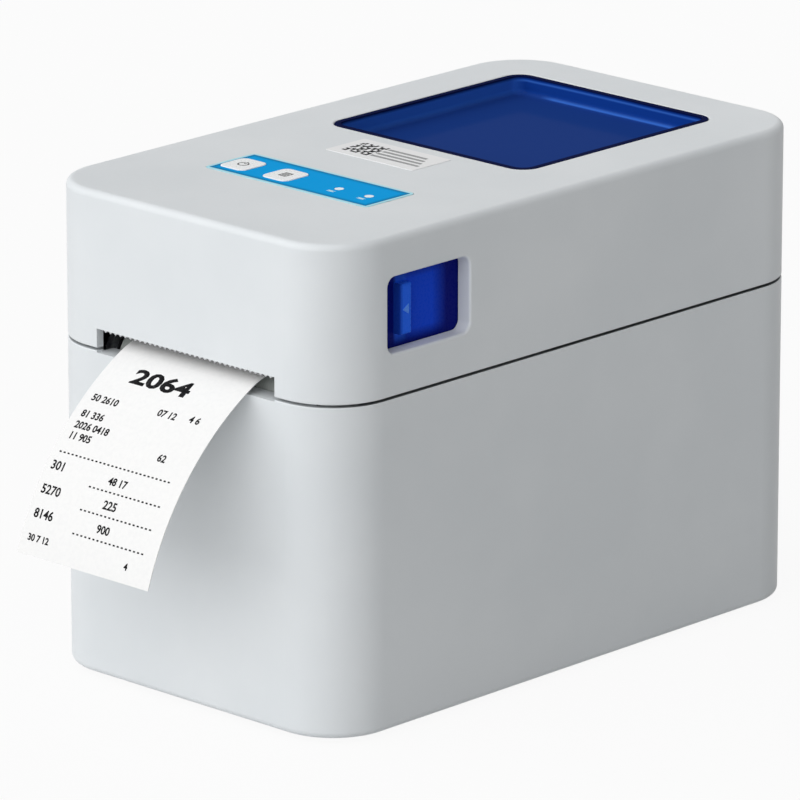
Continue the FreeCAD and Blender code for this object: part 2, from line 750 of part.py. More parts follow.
def right_roll_guide():
    x1 = GUIDE_X + GUIDE_T
    low = BIN_FLOOR + FREE
    upright = box(GUIDE_X, x1, ROLL_Y - GUIDE_W / 2, ROLL_Y + GUIDE_W / 2, low, ROLL_Z)
    head = rod_x(GUIDE_HEAD_R, GUIDE_X, x1, ROLL_Y, ROLL_Z)
    hub = rod_x(CORE_BORE_R - FREE, GUIDE_X - HUB_L, x1, ROLL_Y, ROLL_Z)
    rib = box(x1, x1 + GUIDE_RIB_T, ROLL_Y - GUIDE_RIB_W / 2, ROLL_Y + GUIDE_RIB_W / 2,
              low, low + GUIDE_RIB_H)
    pitch_y = ROLL_Y - RACK_PINION_R - GEAR_PLAY
    root_y = ROLL_Y - RACK_PINION_R - DEDENDUM * RACK_MODULE
    back_y = root_y - RACK_BACK
    leg = box(GUIDE_X, x1, back_y, root_y - FREE, RACK_Z, low + GUIDE_RIB_T)
    rack = rack_bar(-RACK_REACH, x1, pitch_y, back_y, RACK_Z, RACK_Z + RACK_H)
    foot = box(GUIDE_X, x1, back_y, ROLL_Y, low, low + GUIDE_RIB_T)
    return join(upright, head, hub, rib, leg, rack, foot)


def left_roll_guide():
    guide = right_roll_guide()
    guide.rotate(V(0, ROLL_Y, 0), V(0, 0, 1), 180)
    return guide


def guide_pinion():
    outline = gear_outline(RACK_TEETH, RACK_MODULE, math.pi / 2)
    points = [V(a, ROLL_Y + b, RACK_Z) for a, b in outline]
    return prism(points, V(0, 0, RACK_H)).cut(rod_z(STUB_R + RUN, RACK_Z, RACK_Z + RACK_H, 0, ROLL_Y))


def label_roll():
    paper = rod_x(ROLL_R, -HALF_PAPER, HALF_PAPER, ROLL_Y, ROLL_Z)
    return paper.cut(rod_x(CORE_BORE_R + CORE_WALL + SEAT, -HALF_PAPER, HALF_PAPER, ROLL_Y, ROLL_Z))


def roll_core():
    tube = rod_x(CORE_BORE_R + CORE_WALL, -HALF_PAPER, HALF_PAPER, ROLL_Y, ROLL_Z)
    return tube.cut(rod_x(CORE_BORE_R, -HALF_PAPER, HALF_PAPER, ROLL_Y, ROLL_Z))


def curl_point(centre, radius, angle):
    return V(-HALF_PAPER, centre.y - radius * math.sin(angle), centre.z + radius * math.cos(angle))


def web_curl():
    """Centres and end angles of the strip's two bends, tight at the exit and slack below."""
    near_end = math.radians(NEAR_CURL_DEG)
    far_end = near_end + math.radians(FAR_CURL_DEG)
    near = V(0, PLATEN_Y - CURL_START, WEB_Z - NEAR_CURL_R)
    slack = NEAR_CURL_R - FAR_CURL_R
    far = V(0, near.y - slack * math.sin(near_end), near.z + slack * math.cos(near_end))
    return near, near_end, far, far_end


def label_web():
    near, near_end, far, far_end = web_curl()
    edges = []
    for lift in (0.0, PAPER_T):
        near_r = NEAR_CURL_R + lift
        far_r = FAR_CURL_R + lift
        start = V(-HALF_PAPER, ROLL_Y, WEB_Z + lift)
        bend = curl_point(near, near_r, 0)
        edges.append([
            Part.LineSegment(start, bend),
            Part.Arc(bend, curl_point(near, near_r, near_end / 2), curl_point(near, near_r, near_end)),
            Part.Arc(curl_point(far, far_r, near_end), curl_point(far, far_r, (near_end + far_end) / 2),
                     curl_point(far, far_r, far_end)),
        ])
    ends = [
        Part.LineSegment(edges[0][0].StartPoint, edges[1][0].StartPoint),
        Part.LineSegment(edges[0][2].EndPoint, edges[1][2].EndPoint),
    ]
    curves = [c.toShape() for c in edges[0] + edges[1] + ends]
    outline = Part.Wire(Part.__sortEdges__(curves))
    return Part.Face(outline).extrude(V(PAPER_W, 0, 0))


# Print mechanism in the base
def mech_frame():
    floor = box(-FRAME_OUT, FRAME_OUT, FRAME_Y0, FRAME_Y1, FRAME_LOW, FRAME_LOW + FRAME_T)
    pieces = []
    cuts = []
    for side in (-1, 1):
        x0 = min(side * FRAME_IN, side * FRAME_OUT)
        x1 = x0 + FRAME_T
        pieces.append(box(x0, x1, FRAME_Y0, FRAME_Y1, FRAME_LOW, FRAME_TOP))
        pieces.append(rod_x(EAR_R, x0, x1, PLATEN_Y, PLATEN_Z))
        cuts.append(rod_x(BUSH_R + SEAT, x0, x1, PLATEN_Y, PLATEN_Z))
        cuts.append(rod_x(KEEPER_R + SEAT, x0, x1, KEEPER_Y, KEEPER_Z))
    for x, y in post_points():
        cuts.append(rod_z(SCREW_R + RUN, FRAME_LOW, FRAME_LOW + FRAME_T, x, y))
    cuts.append(rod_x(MOTOR_BOSS_R + SLIP, -FRAME_OUT, -FRAME_IN, MOTOR_Y, MOTOR_Z))
    cuts.append(rod_x(IDLER_PIN_R + SEAT, -FRAME_OUT, -FRAME_IN, IDLER_Y, IDLER_Z))
    for side in (-1, 1):
        z = MOTOR_Z + side * MOTOR_SCREW_OUT
        cuts.append(rod_x(SCREW_R + RUN, -FRAME_OUT, -FRAME_IN, MOTOR_Y, z))
    return join(floor, *pieces).cut(cuts)


def frame_screws():
    seat = FRAME_LOW + FRAME_T
    return Part.makeCompound([screw_down(x, y, seat, FRAME_T + SCREW_BITE) for x, y in post_points()])


def paper_guide():
    top = WEB_Z - GUIDE_PLATE_DROP
    y0 = PLATEN_Y + GUIDE_PLATE_Y0
    y1 = PLATEN_Y + GUIDE_PLATE_Y1
    plate = box(-FRAME_IN + SEAT, FRAME_IN - SEAT, y0, y1, top - GUIDE_PLATE_T, top)
    plate = plate.makeFillet(GUIDE_PLATE_T / 3, edges_at_level(plate, top))
    skirts = []
    for side in (-1, 1):
        x0 = min(side * (FRAME_IN - SEAT), side * (FRAME_IN - FRAME_T))
        skirts.append(box(x0, x0 + FRAME_T - SEAT, y0 + FRAME_T, y1 - FRAME_T,
                          FRAME_TOP - 2 * FRAME_T, top - GUIDE_PLATE_T / 2))
    hole = box(-SENSOR_W / 2 - SEAT, SENSOR_W / 2 + SEAT,
               PLATEN_Y + SENSOR_BACK - SEAT, PLATEN_Y + SENSOR_BACK + SENSOR_L + SEAT,
               top - 2 * GUIDE_PLATE_T, top + GUIDE_PLATE_T)
    return join(plate, *skirts).cut(hole)


def gap_sensor():
    top = WEB_Z - FREE - NIP
    y0 = PLATEN_Y + SENSOR_BACK
    body = box(-SENSOR_W / 2, SENSOR_W / 2, y0, y0 + SENSOR_L, top - SENSOR_H, top)
    eye = rod_z(SENSOR_EYE_R, top - SENSOR_EYE_R, top + SENSOR_L, 0, y0 + SENSOR_L / 2)
    return body.cut(eye)


def platen_roller():
    sleeve = rod_x(PLATEN_R, -PLATEN_HALF, PLATEN_HALF, PLATEN_Y, PLATEN_Z)
    return sleeve.cut(rod_x(SHAFT_R + SEAT, -PLATEN_HALF, PLATEN_HALF, PLATEN_Y, PLATEN_Z))


def platen_shaft():
    return rod_x(SHAFT_R, -GEAR_OUT - FREE, FRAME_OUT + BUSH_FLANGE_T + FREE, PLATEN_Y, PLATEN_Z)


def platen_bushes():
    bushes = []
    for side in (-1, 1):
        barrel_x = min(side * (FRAME_IN - FREE), side * FRAME_OUT)
        flange_x = min(side * FRAME_OUT, side * (FRAME_OUT + BUSH_FLANGE_T))
        barrel = rod_x(BUSH_R, barrel_x, barrel_x + FRAME_T + FREE, PLATEN_Y, PLATEN_Z)
        flange = rod_x(BUSH_FLANGE_R, flange_x, flange_x + BUSH_FLANGE_T, PLATEN_Y, PLATEN_Z)
        bore = rod_x(SHAFT_R + RUN, -CASE_W, CASE_W, PLATEN_Y, PLATEN_Z)
        bushes.append(join(barrel, flange).cut(bore))
    return Part.makeCompound(bushes)


def gear_phases():
    """Tooth angles that put the three drive gears in mesh."""
    platen = IDLER_DIR
    idler = IDLER_DIR + math.pi + math.pi / IDLER_TEETH
    offset = PINION_DIR - idler
    pinion = PINION_DIR + math.pi + offset * IDLER_TEETH / PINION_TEETH + math.pi / PINION_TEETH
    return platen, idler, pinion


def platen_gear():
    return side_gear(PLATEN_TEETH, gear_phases()[0], PLATEN_Y, PLATEN_Z, SHAFT_R + SEAT)


def idler_gear():
    return side_gear(IDLER_TEETH, gear_phases()[1], IDLER_Y, IDLER_Z, IDLER_PIN_R + RUN)


def idler_pin():
    shoulder = rod_x(2 * IDLER_PIN_R, -GEAR_IN + FREE, -FRAME_OUT, IDLER_Y, IDLER_Z)
    return join(rod_x(IDLER_PIN_R, -GEAR_OUT - FREE, -FRAME_IN, IDLER_Y, IDLER_Z), shoulder)


def stepper_motor():
    can = rod_x(MOTOR_R, -FRAME_IN, -FRAME_IN + MOTOR_L, MOTOR_Y, MOTOR_Z)
    boss = rod_x(MOTOR_BOSS_R, -FRAME_OUT, -FRAME_IN, MOTOR_Y, MOTOR_Z)
    cuts = [rod_x(MOTOR_SHAFT_R + RUN, -FRAME_OUT, -FRAME_IN + MOTOR_L / 2, MOTOR_Y, MOTOR_Z)]
    for side in (-1, 1):
        z = MOTOR_Z + side * MOTOR_SCREW_OUT
        cuts.append(rod_x(SCREW_R + RUN, -FRAME_IN, -FRAME_IN + SCREW_BITE, MOTOR_Y, z))
    return join(can, boss).cut(cuts)


def motor_pinion():
    gear = side_gear(PINION_TEETH, gear_phases()[2], MOTOR_Y, MOTOR_Z, MOTOR_SHAFT_R)
    shaft = rod_x(MOTOR_SHAFT_R, -GEAR_OUT - FREE, -FRAME_IN + MOTOR_L / 2 - FREE, MOTOR_Y, MOTOR_Z)
    return join(gear, shaft)


def motor_screws():
    screws = []
    for side in (-1, 1):
        z = MOTOR_Z + side * MOTOR_SCREW_OUT
        head = rod_x(SCREW_HEAD_R, -FRAME_OUT - SCREW_HEAD_H, -FRAME_OUT, MOTOR_Y, z)
        shank = rod_x(SCREW_R, -FRAME_OUT, -FRAME_IN + SCREW_BITE - FREE, MOTOR_Y, z)
        screws.append(join(head, shank))
    return Part.makeCompound(screws)


def latch_keepers():
    inner = FRAME_IN
    right = rod_x(KEEPER_R, inner, LATCH_OUT, KEEPER_Y, KEEPER_Z)
    left = rod_x(KEEPER_R, -LATCH_OUT, -inner, KEEPER_Y, KEEPER_Z)
    return Part.makeCompound([left, right])


# Electronics and sockets at the rear
def main_board():
    board = box(-BOARD_W / 2, BOARD_W / 2, BOARD_Y0, BOARD_Y1, BOARD_Z, BOARD_TOP)
    holes = [rod_z(SCREW_R + RUN, BOARD_Z, BOARD_TOP, x, y) for x, y in board_boss_points()]
    chips = []
    for x, side in CHIPS:
        chips.append(box(x - side / 2, x + side / 2, BOARD_Y0 + BOARD_T, BOARD_Y0 + BOARD_T + side,
                         BOARD_TOP, BOARD_TOP + BOARD_T))
    return join(board.cut(holes), *chips)


def board_screws():
    length = BOARD_T + BOARD_UP - FREE
    return Part.makeCompound([screw_down(x, y, BOARD_TOP, length) for x, y in board_boss_points()])


def power_jack():
    z = BOARD_TOP + JACK_H / 2
    body = box(JACK_X - JACK_W / 2, JACK_X + JACK_W / 2, REAR_IN - JACK_L, REAR_IN - SLIP,
               BOARD_TOP, BOARD_TOP + JACK_H)
    collar = rod_y(JACK_COLLAR_R, REAR_IN - JACK_L / 2, REAR - SLIP, JACK_X, z)
    mouth = rod_y(JACK_BORE_R, REAR - JACK_BORE_L, REAR, JACK_X, z)
    pin = rod_y(JACK_PIN_R, REAR - JACK_BORE_L - WALL, REAR - WALL, JACK_X, z)
    return join(join(body, collar).cut(mouth), pin)


def usb_socket():
    z = BOARD_TOP + USB_H / 2
    shell = box(USB_X - USB_W / 2, USB_X + USB_W / 2, REAR - USB_L, REAR - SLIP,
                BOARD_TOP, BOARD_TOP + USB_H)
    mouth = box(USB_X - USB_MOUTH_W / 2, USB_X + USB_MOUTH_W / 2, REAR - USB_MOUTH_L, REAR,
                z - USB_MOUTH_H / 2, z + USB_MOUTH_H / 2)
    tongue = box(USB_X - USB_TONGUE_W / 2, USB_X + USB_TONGUE_W / 2, REAR - USB_MOUTH_L - SLIP,
                 REAR - SLIP - USB_TONGUE_H / 3, z - USB_TONGUE_H / 2, z + USB_TONGUE_H / 2)
    return join(shell.cut(mouth), tongue)


def rocker_housing():
    rim = box(ROCKER_X - ROCKER_W / 2 - ROCKER_RIM, ROCKER_X + ROCKER_W / 2 + ROCKER_RIM,
              REAR, REAR + ROCKER_RIM_T,
              ROCKER_Z - ROCKER_H / 2 - ROCKER_RIM, ROCKER_Z + ROCKER_H / 2 + ROCKER_RIM)
    body = box(ROCKER_X - ROCKER_W / 2, ROCKER_X + ROCKER_W / 2, REAR - ROCKER_L, REAR,
               ROCKER_Z - ROCKER_H / 2, ROCKER_Z + ROCKER_H / 2)
    half_w = ROCKER_W / 2 - ROCKER_WALL
    half_h = ROCKER_H / 2 - ROCKER_WALL
    well = box(ROCKER_X - half_w, ROCKER_X + half_w, REAR - ROCKER_L + ROCKER_WALL, REAR + WALL,
               ROCKER_Z - half_h, ROCKER_Z + half_h)
    pivot = rod_z(ROCKER_PIVOT_R + RUN, ROCKER_Z - half_h - ROCKER_WALL / 2,
                  ROCKER_Z + half_h + ROCKER_WALL / 2, ROCKER_X, REAR - ROCKER_WALL)
    return join(rim, body).cut([well, pivot])


def power_rocker():
    """Rocker at rest on its off side, turned about an upright pivot."""
    half_w = ROCKER_W / 2 - ROCKER_WALL - 2 * FREE
    half_h = ROCKER_H / 2 - ROCKER_WALL - FREE
    y0 = REAR - ROCKER_WALL
    face = REAR + ROCKER_PROUD
    dish = face - ROCKER_PROUD
    profile = [
        V(ROCKER_X - half_w, y0 - ROCKER_PROUD, ROCKER_Z - half_h),
        V(ROCKER_X + half_w, y0 - ROCKER_PROUD, ROCKER_Z - half_h),
        V(ROCKER_X + half_w, face, ROCKER_Z - half_h),
        V(ROCKER_X, dish, ROCKER_Z - half_h),
        V(ROCKER_X - half_w, face, ROCKER_Z - half_h),
    ]
    paddle = prism(profile, V(0, 0, 2 * half_h))
    reach = half_h + FREE + ROCKER_WALL / 2 - RUN
    trunnion = rod_z(ROCKER_PIVOT_R, ROCKER_Z - reach, ROCKER_Z + reach, ROCKER_X, y0)
    rocker = join(paddle, trunnion)
    rocker.rotate(V(ROCKER_X, y0, 0), V(0, 0, 1), -ROCKER_TILT)
    return rocker


def hinge_pins():
    pins = []
    reach = COVER_KNUCKLE_W / 2 + FREE + BASE_KNUCKLE_W
    for centre in (-KNUCKLE_X, KNUCKLE_X):
        pins.append(rod_x(HINGE_PIN_R, centre - reach, centre + reach, REAR, PART_Z))
    return Part.makeCompound(pins)


# Top cover and what it carries
def carrier_boss_points():
    half = CARRIER_HALF - CARRIER_BOSS_IN
    return spread(half, CARRIER_Y0 + CARRIER_BOSS_IN, CARRIER_Y1 - CARRIER_BOSS_IN)


def panel_boss_points():
    half = PANEL_BOARD_W / 2 - PANEL_BOSS_IN
    return [(-half, PANEL_BOARD_Y0 + PANEL_BOARD_L / 2), (half, PANEL_BOARD_Y0 + PANEL_BOARD_L / 2)]


def key_hole(x):
    grow = SLIP
    return rounded_plate(x - KEY_W / 2 - grow, x + KEY_W / 2 + grow,
                         KEY_Y - KEY_L / 2 - grow, KEY_Y + KEY_L / 2 + grow,
                         ROOF - WALL, TOP + WALL, KEY_R + grow)


def latch_recess():
    """Space of the right finger recess, from the latch to beyond the side wall."""
    return side_plate(COLLAR_IN - WALL, HALF_W + WALL, RECESS_Y0, RECESS_Y1,
                      RECESS_Z0, RECESS_Z1, RECESS_R)


def right_latch_guide():
    """Collar, rails and spring stop on one flange behind the side wall."""
    collar = side_plate(COLLAR_IN, SIDE_IN, RECESS_Y0 - COLLAR_T, RECESS_Y1 + COLLAR_T,
                        RECESS_Z0 - COLLAR_T, RECESS_Z1 + COLLAR_T, RECESS_R + COLLAR_T)
    rail_out = FREE + RAIL_T
    flange = box(SIDE_IN - LATCH_FLANGE_T, SIDE_IN, LATCH_Y0, LATCH_Y1,
                 LATCH_Z0 - rail_out, LATCH_Z1 + rail_out)
    pieces = []
    lip_x1 = LATCH_IN - FREE
    lip_x0 = lip_x1 - RAIL_LIP
    y1 = LATCH_Y1
    spans = [(1, LATCH_Z1 + FREE, LATCH_Y0, y1)]
    spans.append((-1, LATCH_Z0 - FREE, LATCH_Y0, ARM_Y0 - LATCH_TRAVEL - FREE))
    spans.append((-1, LATCH_Z0 - FREE, ARM_Y1 + FREE, y1))
    for side, edge, y0, y_end in spans:
        far = edge + side * RAIL_T
        near = edge - side * (RAIL_REACH + FREE)
        pieces.append(box(lip_x0, SIDE_IN, y0, y_end, min(edge, far), max(edge, far)))
        pieces.append(box(lip_x0, lip_x1, y0, y_end, min(near, far), max(near, far)))
    stop_x1 = LATCH_IN - FREE
    stop = box(stop_x1 - STOP_W, stop_x1, LATCH_SPRING_Y0 - STOP_T, LATCH_SPRING_Y0,
               LATCH_MID_Z - TAB_H / 2, ROOF)
    return join(flange, collar, stop, *pieces).cut(latch_recess())


def left_latch_guide():
    return mirrored(right_latch_guide())


def cover_posts():
    """Pillars under the roof for the head carrier and the panel board."""
    posts = []
    for x, y in carrier_boss_points():
        low = CARRIER_LOW + CARRIER_T
        pillar = rod_z(CARRIER_BOSS_R, low, ROOF, x, y)
        posts.append(pillar.cut(rod_z(SCREW_R + RUN, low, low + SCREW_BITE + FREE, x, y)))
    for x, y in panel_boss_points():
        pillar = rod_z(PANEL_BOSS_R, PANEL_BOARD_TOP, ROOF, x, y)
        posts.append(pillar.cut(rod_z(SCREW_R + RUN, PANEL_BOARD_TOP, PANEL_BOARD_TOP + SCREW_BITE, x, y)))
    return Part.makeCompound(posts)


def top_cover():
    outer = rounded_plate(-HALF_W, HALF_W, FRONT, REAR, COVER_LOW, TOP, CORNER_R)
    outer = outer.makeFillet(EDGE_R, edges_at_level(outer, TOP))
    outer = outer.makeFillet(PART_EDGE_R, edges_at_level(outer, COVER_LOW))
    inner_r = CORNER_R - WALL
    hollow = rounded_plate(-SIDE_IN, SIDE_IN, FRONT_IN, REAR_IN, PART_Z, ROOF, inner_r)
    cover = outer.cut(hollow)

    mouth = box(-SLOT_W / 2, SLOT_W / 2, FRONT - WALL, FRONT_IN + WALL, PART_Z, SLOT_HIGH)
    light = rounded_plate(WINDOW_X0, WINDOW_X1, WINDOW_Y0, WINDOW_Y1, ROOF - WALL, TOP + WALL, WINDOW_R)
    tear_half = SLOT_W / 2 - TEAR_IN + SLIP
    rebate = box(-tear_half, tear_half, TEAR_Y, FRONT_IN, SLOT_HIGH, TEAR_LOW + TEAR_H + SLIP)
    cover = cover.cut([mouth, light, rebate])
    rim = [e for e in edges_at_level(cover, TOP)
           if e.BoundBox.YMin > WINDOW_Y0 - SLIP and e.BoundBox.YMax < WINDOW_Y1 + SLIP
           and e.BoundBox.XMin > WINDOW_X0 - SLIP and e.BoundBox.XMax < WINDOW_X1 + SLIP]
    cover = cover.makeFillet(RIM_R, rim)

    added = []
    cuts = []
    panel = rounded_plate(-PANEL_W / 2, PANEL_W / 2, PANEL_Y0, PANEL_Y1,
                          TOP - PANEL_SINK, TOP + WALL, PANEL_R)
    cuts.append(panel)
    cuts += [key_hole(POWER_KEY_X), key_hole(FEED_KEY_X)]
    for x in LED_X:
        cuts.append(rod_z(LED_R + SLIP, ROOF - WALL, TOP, x, LED_Y))

    base_spans, cover_spans = knuckle_spans()
    for x0, x1 in cover_spans:
        added.append(rod_x(KNUCKLE_R, x0, x1, REAR, PART_Z))
        cuts.append(rod_x(HINGE_PIN_R + RUN, x0, x1, REAR, PART_Z))
    reliefs = [rod_x(KNUCKLE_R + FREE, x0 - FREE, x1 + FREE, REAR, PART_Z) for x0, x1 in base_spans]

    cuts += [latch_recess(), mirrored(latch_recess())]
    cover = join(cover.cut(reliefs), *added).cut(cuts)
    rims = []
    for x in (-HALF_W, HALF_W):
        rims += edges_on_side(cover, x, RECESS_Y0 - SLIP, RECESS_Y1 + SLIP,
                              RECESS_Z0 - SLIP, RECESS_Z1 + SLIP)
    return cover.makeFillet(RECESS_RIM_R, rims)


def window():
    def sheet(grow, z0, z1):
        return rounded_plate(WINDOW_X0 - grow, WINDOW_X1 + grow, WINDOW_Y0 - grow, WINDOW_Y1 + grow,
                             z0, z1, WINDOW_R + grow)

    tray = sheet(-SLIP, TOP - WINDOW_DEPTH - WINDOW_T, TOP - WINDOW_LIP)
    flange = sheet(WINDOW_FLANGE - SLIP, ROOF - WINDOW_T, ROOF - SEAT)
    well = sheet(-SLIP - WINDOW_T, TOP - WINDOW_DEPTH, TOP + WALL)
    well = well.makeFillet(WELL_R, edges_at_level(well, TOP - WINDOW_DEPTH))
    return join(tray, flange).cut(well)


def control_panel():
    grow = -SLIP
    base = TOP - PANEL_SINK
    sheet = rounded_plate(-PANEL_W / 2 - grow, PANEL_W / 2 + grow, PANEL_Y0 - grow, PANEL_Y1 + grow,
                          base, base + PANEL_T, PANEL_R)
    holes = [key_hole(POWER_KEY_X), key_hole(FEED_KEY_X)]
    for x in LED_X:
        holes.append(rod_z(LED_R + SLIP, ROOF, TOP + WALL, x, LED_Y))
    return sheet.cut(holes)


def key(x):
    cap = rounded_plate(x - KEY_W / 2, x + KEY_W / 2, KEY_Y - KEY_L / 2, KEY_Y + KEY_L / 2,
                        KEY_SKIRT_Z, TOP + KEY_PROUD, KEY_R)
    cap = cap.makeFillet(KEY_EDGE_R, edges_at_level(cap, TOP + KEY_PROUD))
    half_w = KEY_W / 2 + KEY_SKIRT
    half_l = KEY_L / 2 + KEY_SKIRT
    skirt = rounded_plate(x - half_w, x + half_w, KEY_Y - half_l, KEY_Y + half_l,
                          KEY_SKIRT_Z, KEY_SKIRT_Z + KEY_SKIRT_T, KEY_R + KEY_SKIRT)
    stem = rod_z(KEY_W / 4, KEY_LOW, KEY_SKIRT_Z + KEY_SKIRT_T, x, KEY_Y)
    return join(cap, skirt, stem)


def power_key():
    return key(POWER_KEY_X)


def feed_key():
    return key(FEED_KEY_X)


def panel_board():
    low = PANEL_BOARD_TOP - BOARD_T
    board = box(-PANEL_BOARD_W / 2, PANEL_BOARD_W / 2, PANEL_BOARD_Y0, PANEL_BOARD_Y0 + PANEL_BOARD_L,
                low, PANEL_BOARD_TOP)
    switches = []
    half = SWITCH_SIDE / 2
    for x in (POWER_KEY_X, FEED_KEY_X):
        switches.append(box(x - half, x + half, KEY_Y - half, KEY_Y + half,
                            PANEL_BOARD_TOP, KEY_LOW - KEY_TRAVEL - FREE))
    holes = [rod_z(SCREW_R + RUN, low, PANEL_BOARD_TOP, x, y) for x, y in panel_boss_points()]
    return join(board, *switches).cut(holes)


def panel_screws():
    low = PANEL_BOARD_TOP - BOARD_T
    length = BOARD_T + SCREW_BITE - FREE
    return Part.makeCompound([screw_up(x, y, low, length) for x, y in panel_boss_points()])


def status_leds():
    return Part.makeCompound([rod_z(LED_R, PANEL_BOARD_TOP, TOP - PANEL_SINK + PANEL_T, x, LED_Y)
                              for x in LED_X])


def info_sticker():
    y1 = WINDOW_Y0 - STICKER_BACK
    return rounded_plate(STICKER_X - STICKER_W / 2, STICKER_X + STICKER_W / 2, y1 - STICKER_L, y1,
                         TOP, TOP + STICKER_T, RIM_R)


def head_carrier():
    plate = box(-CARRIER_HALF, CARRIER_HALF, CARRIER_Y0, CARRIER_Y1, CARRIER_LOW, CARRIER_LOW + CARRIER_T)
    cheeks = []
    for side in (-1, 1):
        inner = BRACKET_HALF + CHEEK_T + FREE
        x0 = min(side * inner, side * (inner + CHEEK_T))
        cheeks.append(box(x0, x0 + CHEEK_T, PIVOT_Y - CHEEK_W / 2, PIVOT_Y + CHEEK_W / 2,
                          CARRIER_LOW - CHEEK_DROP, CARRIER_LOW))
    holes = [rod_z(SCREW_R + RUN, CARRIER_LOW, CARRIER_LOW + CARRIER_T, x, y)
             for x, y in carrier_boss_points()]
    holes.append(rod_x(PIVOT_R + SEAT, -CASE_W, CASE_W, PIVOT_Y, PIVOT_Z))
    return join(plate, *cheeks).cut(holes)


def carrier_screws():
    length = CARRIER_T + SCREW_BITE
    return Part.makeCompound([screw_up(x, y, CARRIER_LOW, length) for x, y in carrier_boss_points()])


def head_bracket():
    plate = box(-BRACKET_HALF, BRACKET_HALF, PLATEN_Y - BRACKET_FRONT, PIVOT_Y + CHEEK_W / 2,
                BRACKET_LOW, BRACKET_TOP)
    cheeks = []
    for side in (-1, 1):
        x0 = min(side * BRACKET_HALF, side * (BRACKET_HALF + CHEEK_T))
        cheeks.append(box(x0, x0 + CHEEK_T, PIVOT_Y - CHEEK_W / 2, PIVOT_Y + CHEEK_W / 2,
                          BRACKET_LOW, PIVOT_Z))
        cheeks.append(rod_x(CHEEK_W / 2, x0, x0 + CHEEK_T, PIVOT_Y, PIVOT_Z))
    bore = rod_x(PIVOT_R + RUN, -CASE_W, CASE_W, PIVOT_Y, PIVOT_Z)
    return join(plate, *cheeks).cut(bore)


def print_head():
    half = HALF_PAPER + HEAD_OVERHANG
    return box(-half, half, PLATEN_Y - HEAD_L / 2, PLATEN_Y + HEAD_L / 2, HEAD_LOW, BRACKET_LOW)


def head_pivot_pin():
    half = BRACKET_HALF + 2 * CHEEK_T + 2 * FREE
    return rod_x(PIVOT_R, -half, half, PIVOT_Y, PIVOT_Z)


def head_springs():
    springs = []
    for side in (-1, 1):
        x = side * HEAD_SPRING_X
        sleeve = rod_z(HEAD_SPRING_R, BRACKET_TOP, CARRIER_LOW, x, PLATEN_Y)
        bore = rod_z(HEAD_SPRING_R - HEAD_SPRING_WALL, BRACKET_TOP, CARRIER_LOW, x, PLATEN_Y)
        springs.append(sleeve.cut(bore))
    return Part.makeCompound(springs)


def tear_bar():
    half = SLOT_W / 2 - TEAR_IN
    top = TEAR_LOW + TEAR_H
    root = TEAR_LOW + TOOTH_H
    count = int(2 * half // TOOTH_PITCH)
    start = -count * TOOTH_PITCH / 2
    edge = [V(-half, TEAR_Y, top), V(-half, TEAR_Y, root)]
    for tooth in range(count):
        x = start + tooth * TOOTH_PITCH
        edge.append(V(x, TEAR_Y, root))
        edge.append(V(x + TOOTH_PITCH / 2, TEAR_Y, TEAR_LOW))
    edge += [V(start + count * TOOTH_PITCH, TEAR_Y, root), V(half, TEAR_Y, root), V(half, TEAR_Y, top)]
    return prism(edge, V(0, TEAR_T, 0))


def right_latch():
    plate = side_plate(LATCH_IN, LATCH_OUT, LATCH_Y0, LATCH_Y1, LATCH_Z0, LATCH_Z1, RECESS_R / 2)
    rib_y0 = RECESS_Y0 + RIB_IN
    rib = box(LATCH_OUT - LATCH_T / 2, LATCH_OUT + RIB_H, rib_y0, rib_y0 + RIB_W,
              RECESS_Z0 + RIB_MARGIN, RECESS_Z1 - RIB_MARGIN)
    crest = [e for e in rib.Edges if e.BoundBox.XMin > LATCH_OUT + RIB_H - SLIP]
    rib = rib.makeFillet(RIB_EDGE_R, crest)
    nose_low = NOSE_TOP - NOSE_H
    arm = box(LATCH_IN, LATCH_OUT, ARM_Y0, ARM_Y1, nose_low, LATCH_Z0 + LATCH_LAP)
    nose = box(LATCH_IN, LATCH_OUT, ARM_Y1 - NOSE_H, NOSE_TIP, nose_low, NOSE_TOP)
    tab = box(LATCH_IN - TAB_REACH, LATCH_IN + LATCH_T / 2, LATCH_SPRING_Y1, LATCH_SPRING_Y1 + TAB_T,
              LATCH_MID_Z - TAB_H / 2, LATCH_MID_Z + TAB_H / 2)
    return join(plate, rib, arm, nose, tab)


def left_latch():
    return mirrored(right_latch())


def right_latch_spring():
    radius = LATCH_SPRING_R
    sleeve = rod_y(radius, LATCH_SPRING_Y0, LATCH_SPRING_Y1, LATCH_SPRING_X, LATCH_MID_Z)
    bore = rod_y(radius - LATCH_SPRING_WALL, LATCH_SPRING_Y0, LATCH_SPRING_Y1,
                 LATCH_SPRING_X, LATCH_MID_Z)
    return sleeve.cut(bore)


def left_latch_spring():
    return mirrored(right_latch_spring())


# Every piece in its own file, moved so that the origin is under the middle of the whole outline
PIECES = [
    base_case, base_posts, rubber_feet, bottom_screws, roll_bin, right_roll_guide, left_roll_guide,
    guide_pinion, label_roll, roll_core, label_web, mech_frame, frame_screws, front_deck, paper_guide,
    gap_sensor, platen_roller, platen_shaft, platen_bushes, platen_gear, idler_gear, idler_pin,
    stepper_motor, motor_pinion, motor_screws, latch_keepers, main_board, board_screws, power_jack,
    usb_socket, rocker_housing, power_rocker, hinge_pins, top_cover, cover_posts, right_latch_guide,
    left_latch_guide, window, control_panel, power_key, feed_key, panel_board, panel_screws,
    status_leds, info_sticker, head_carrier, carrier_screws, head_bracket, print_head, head_pivot_pin,
    head_springs, tear_bar, right_latch, left_latch, right_latch_spring, left_latch_spring,
]


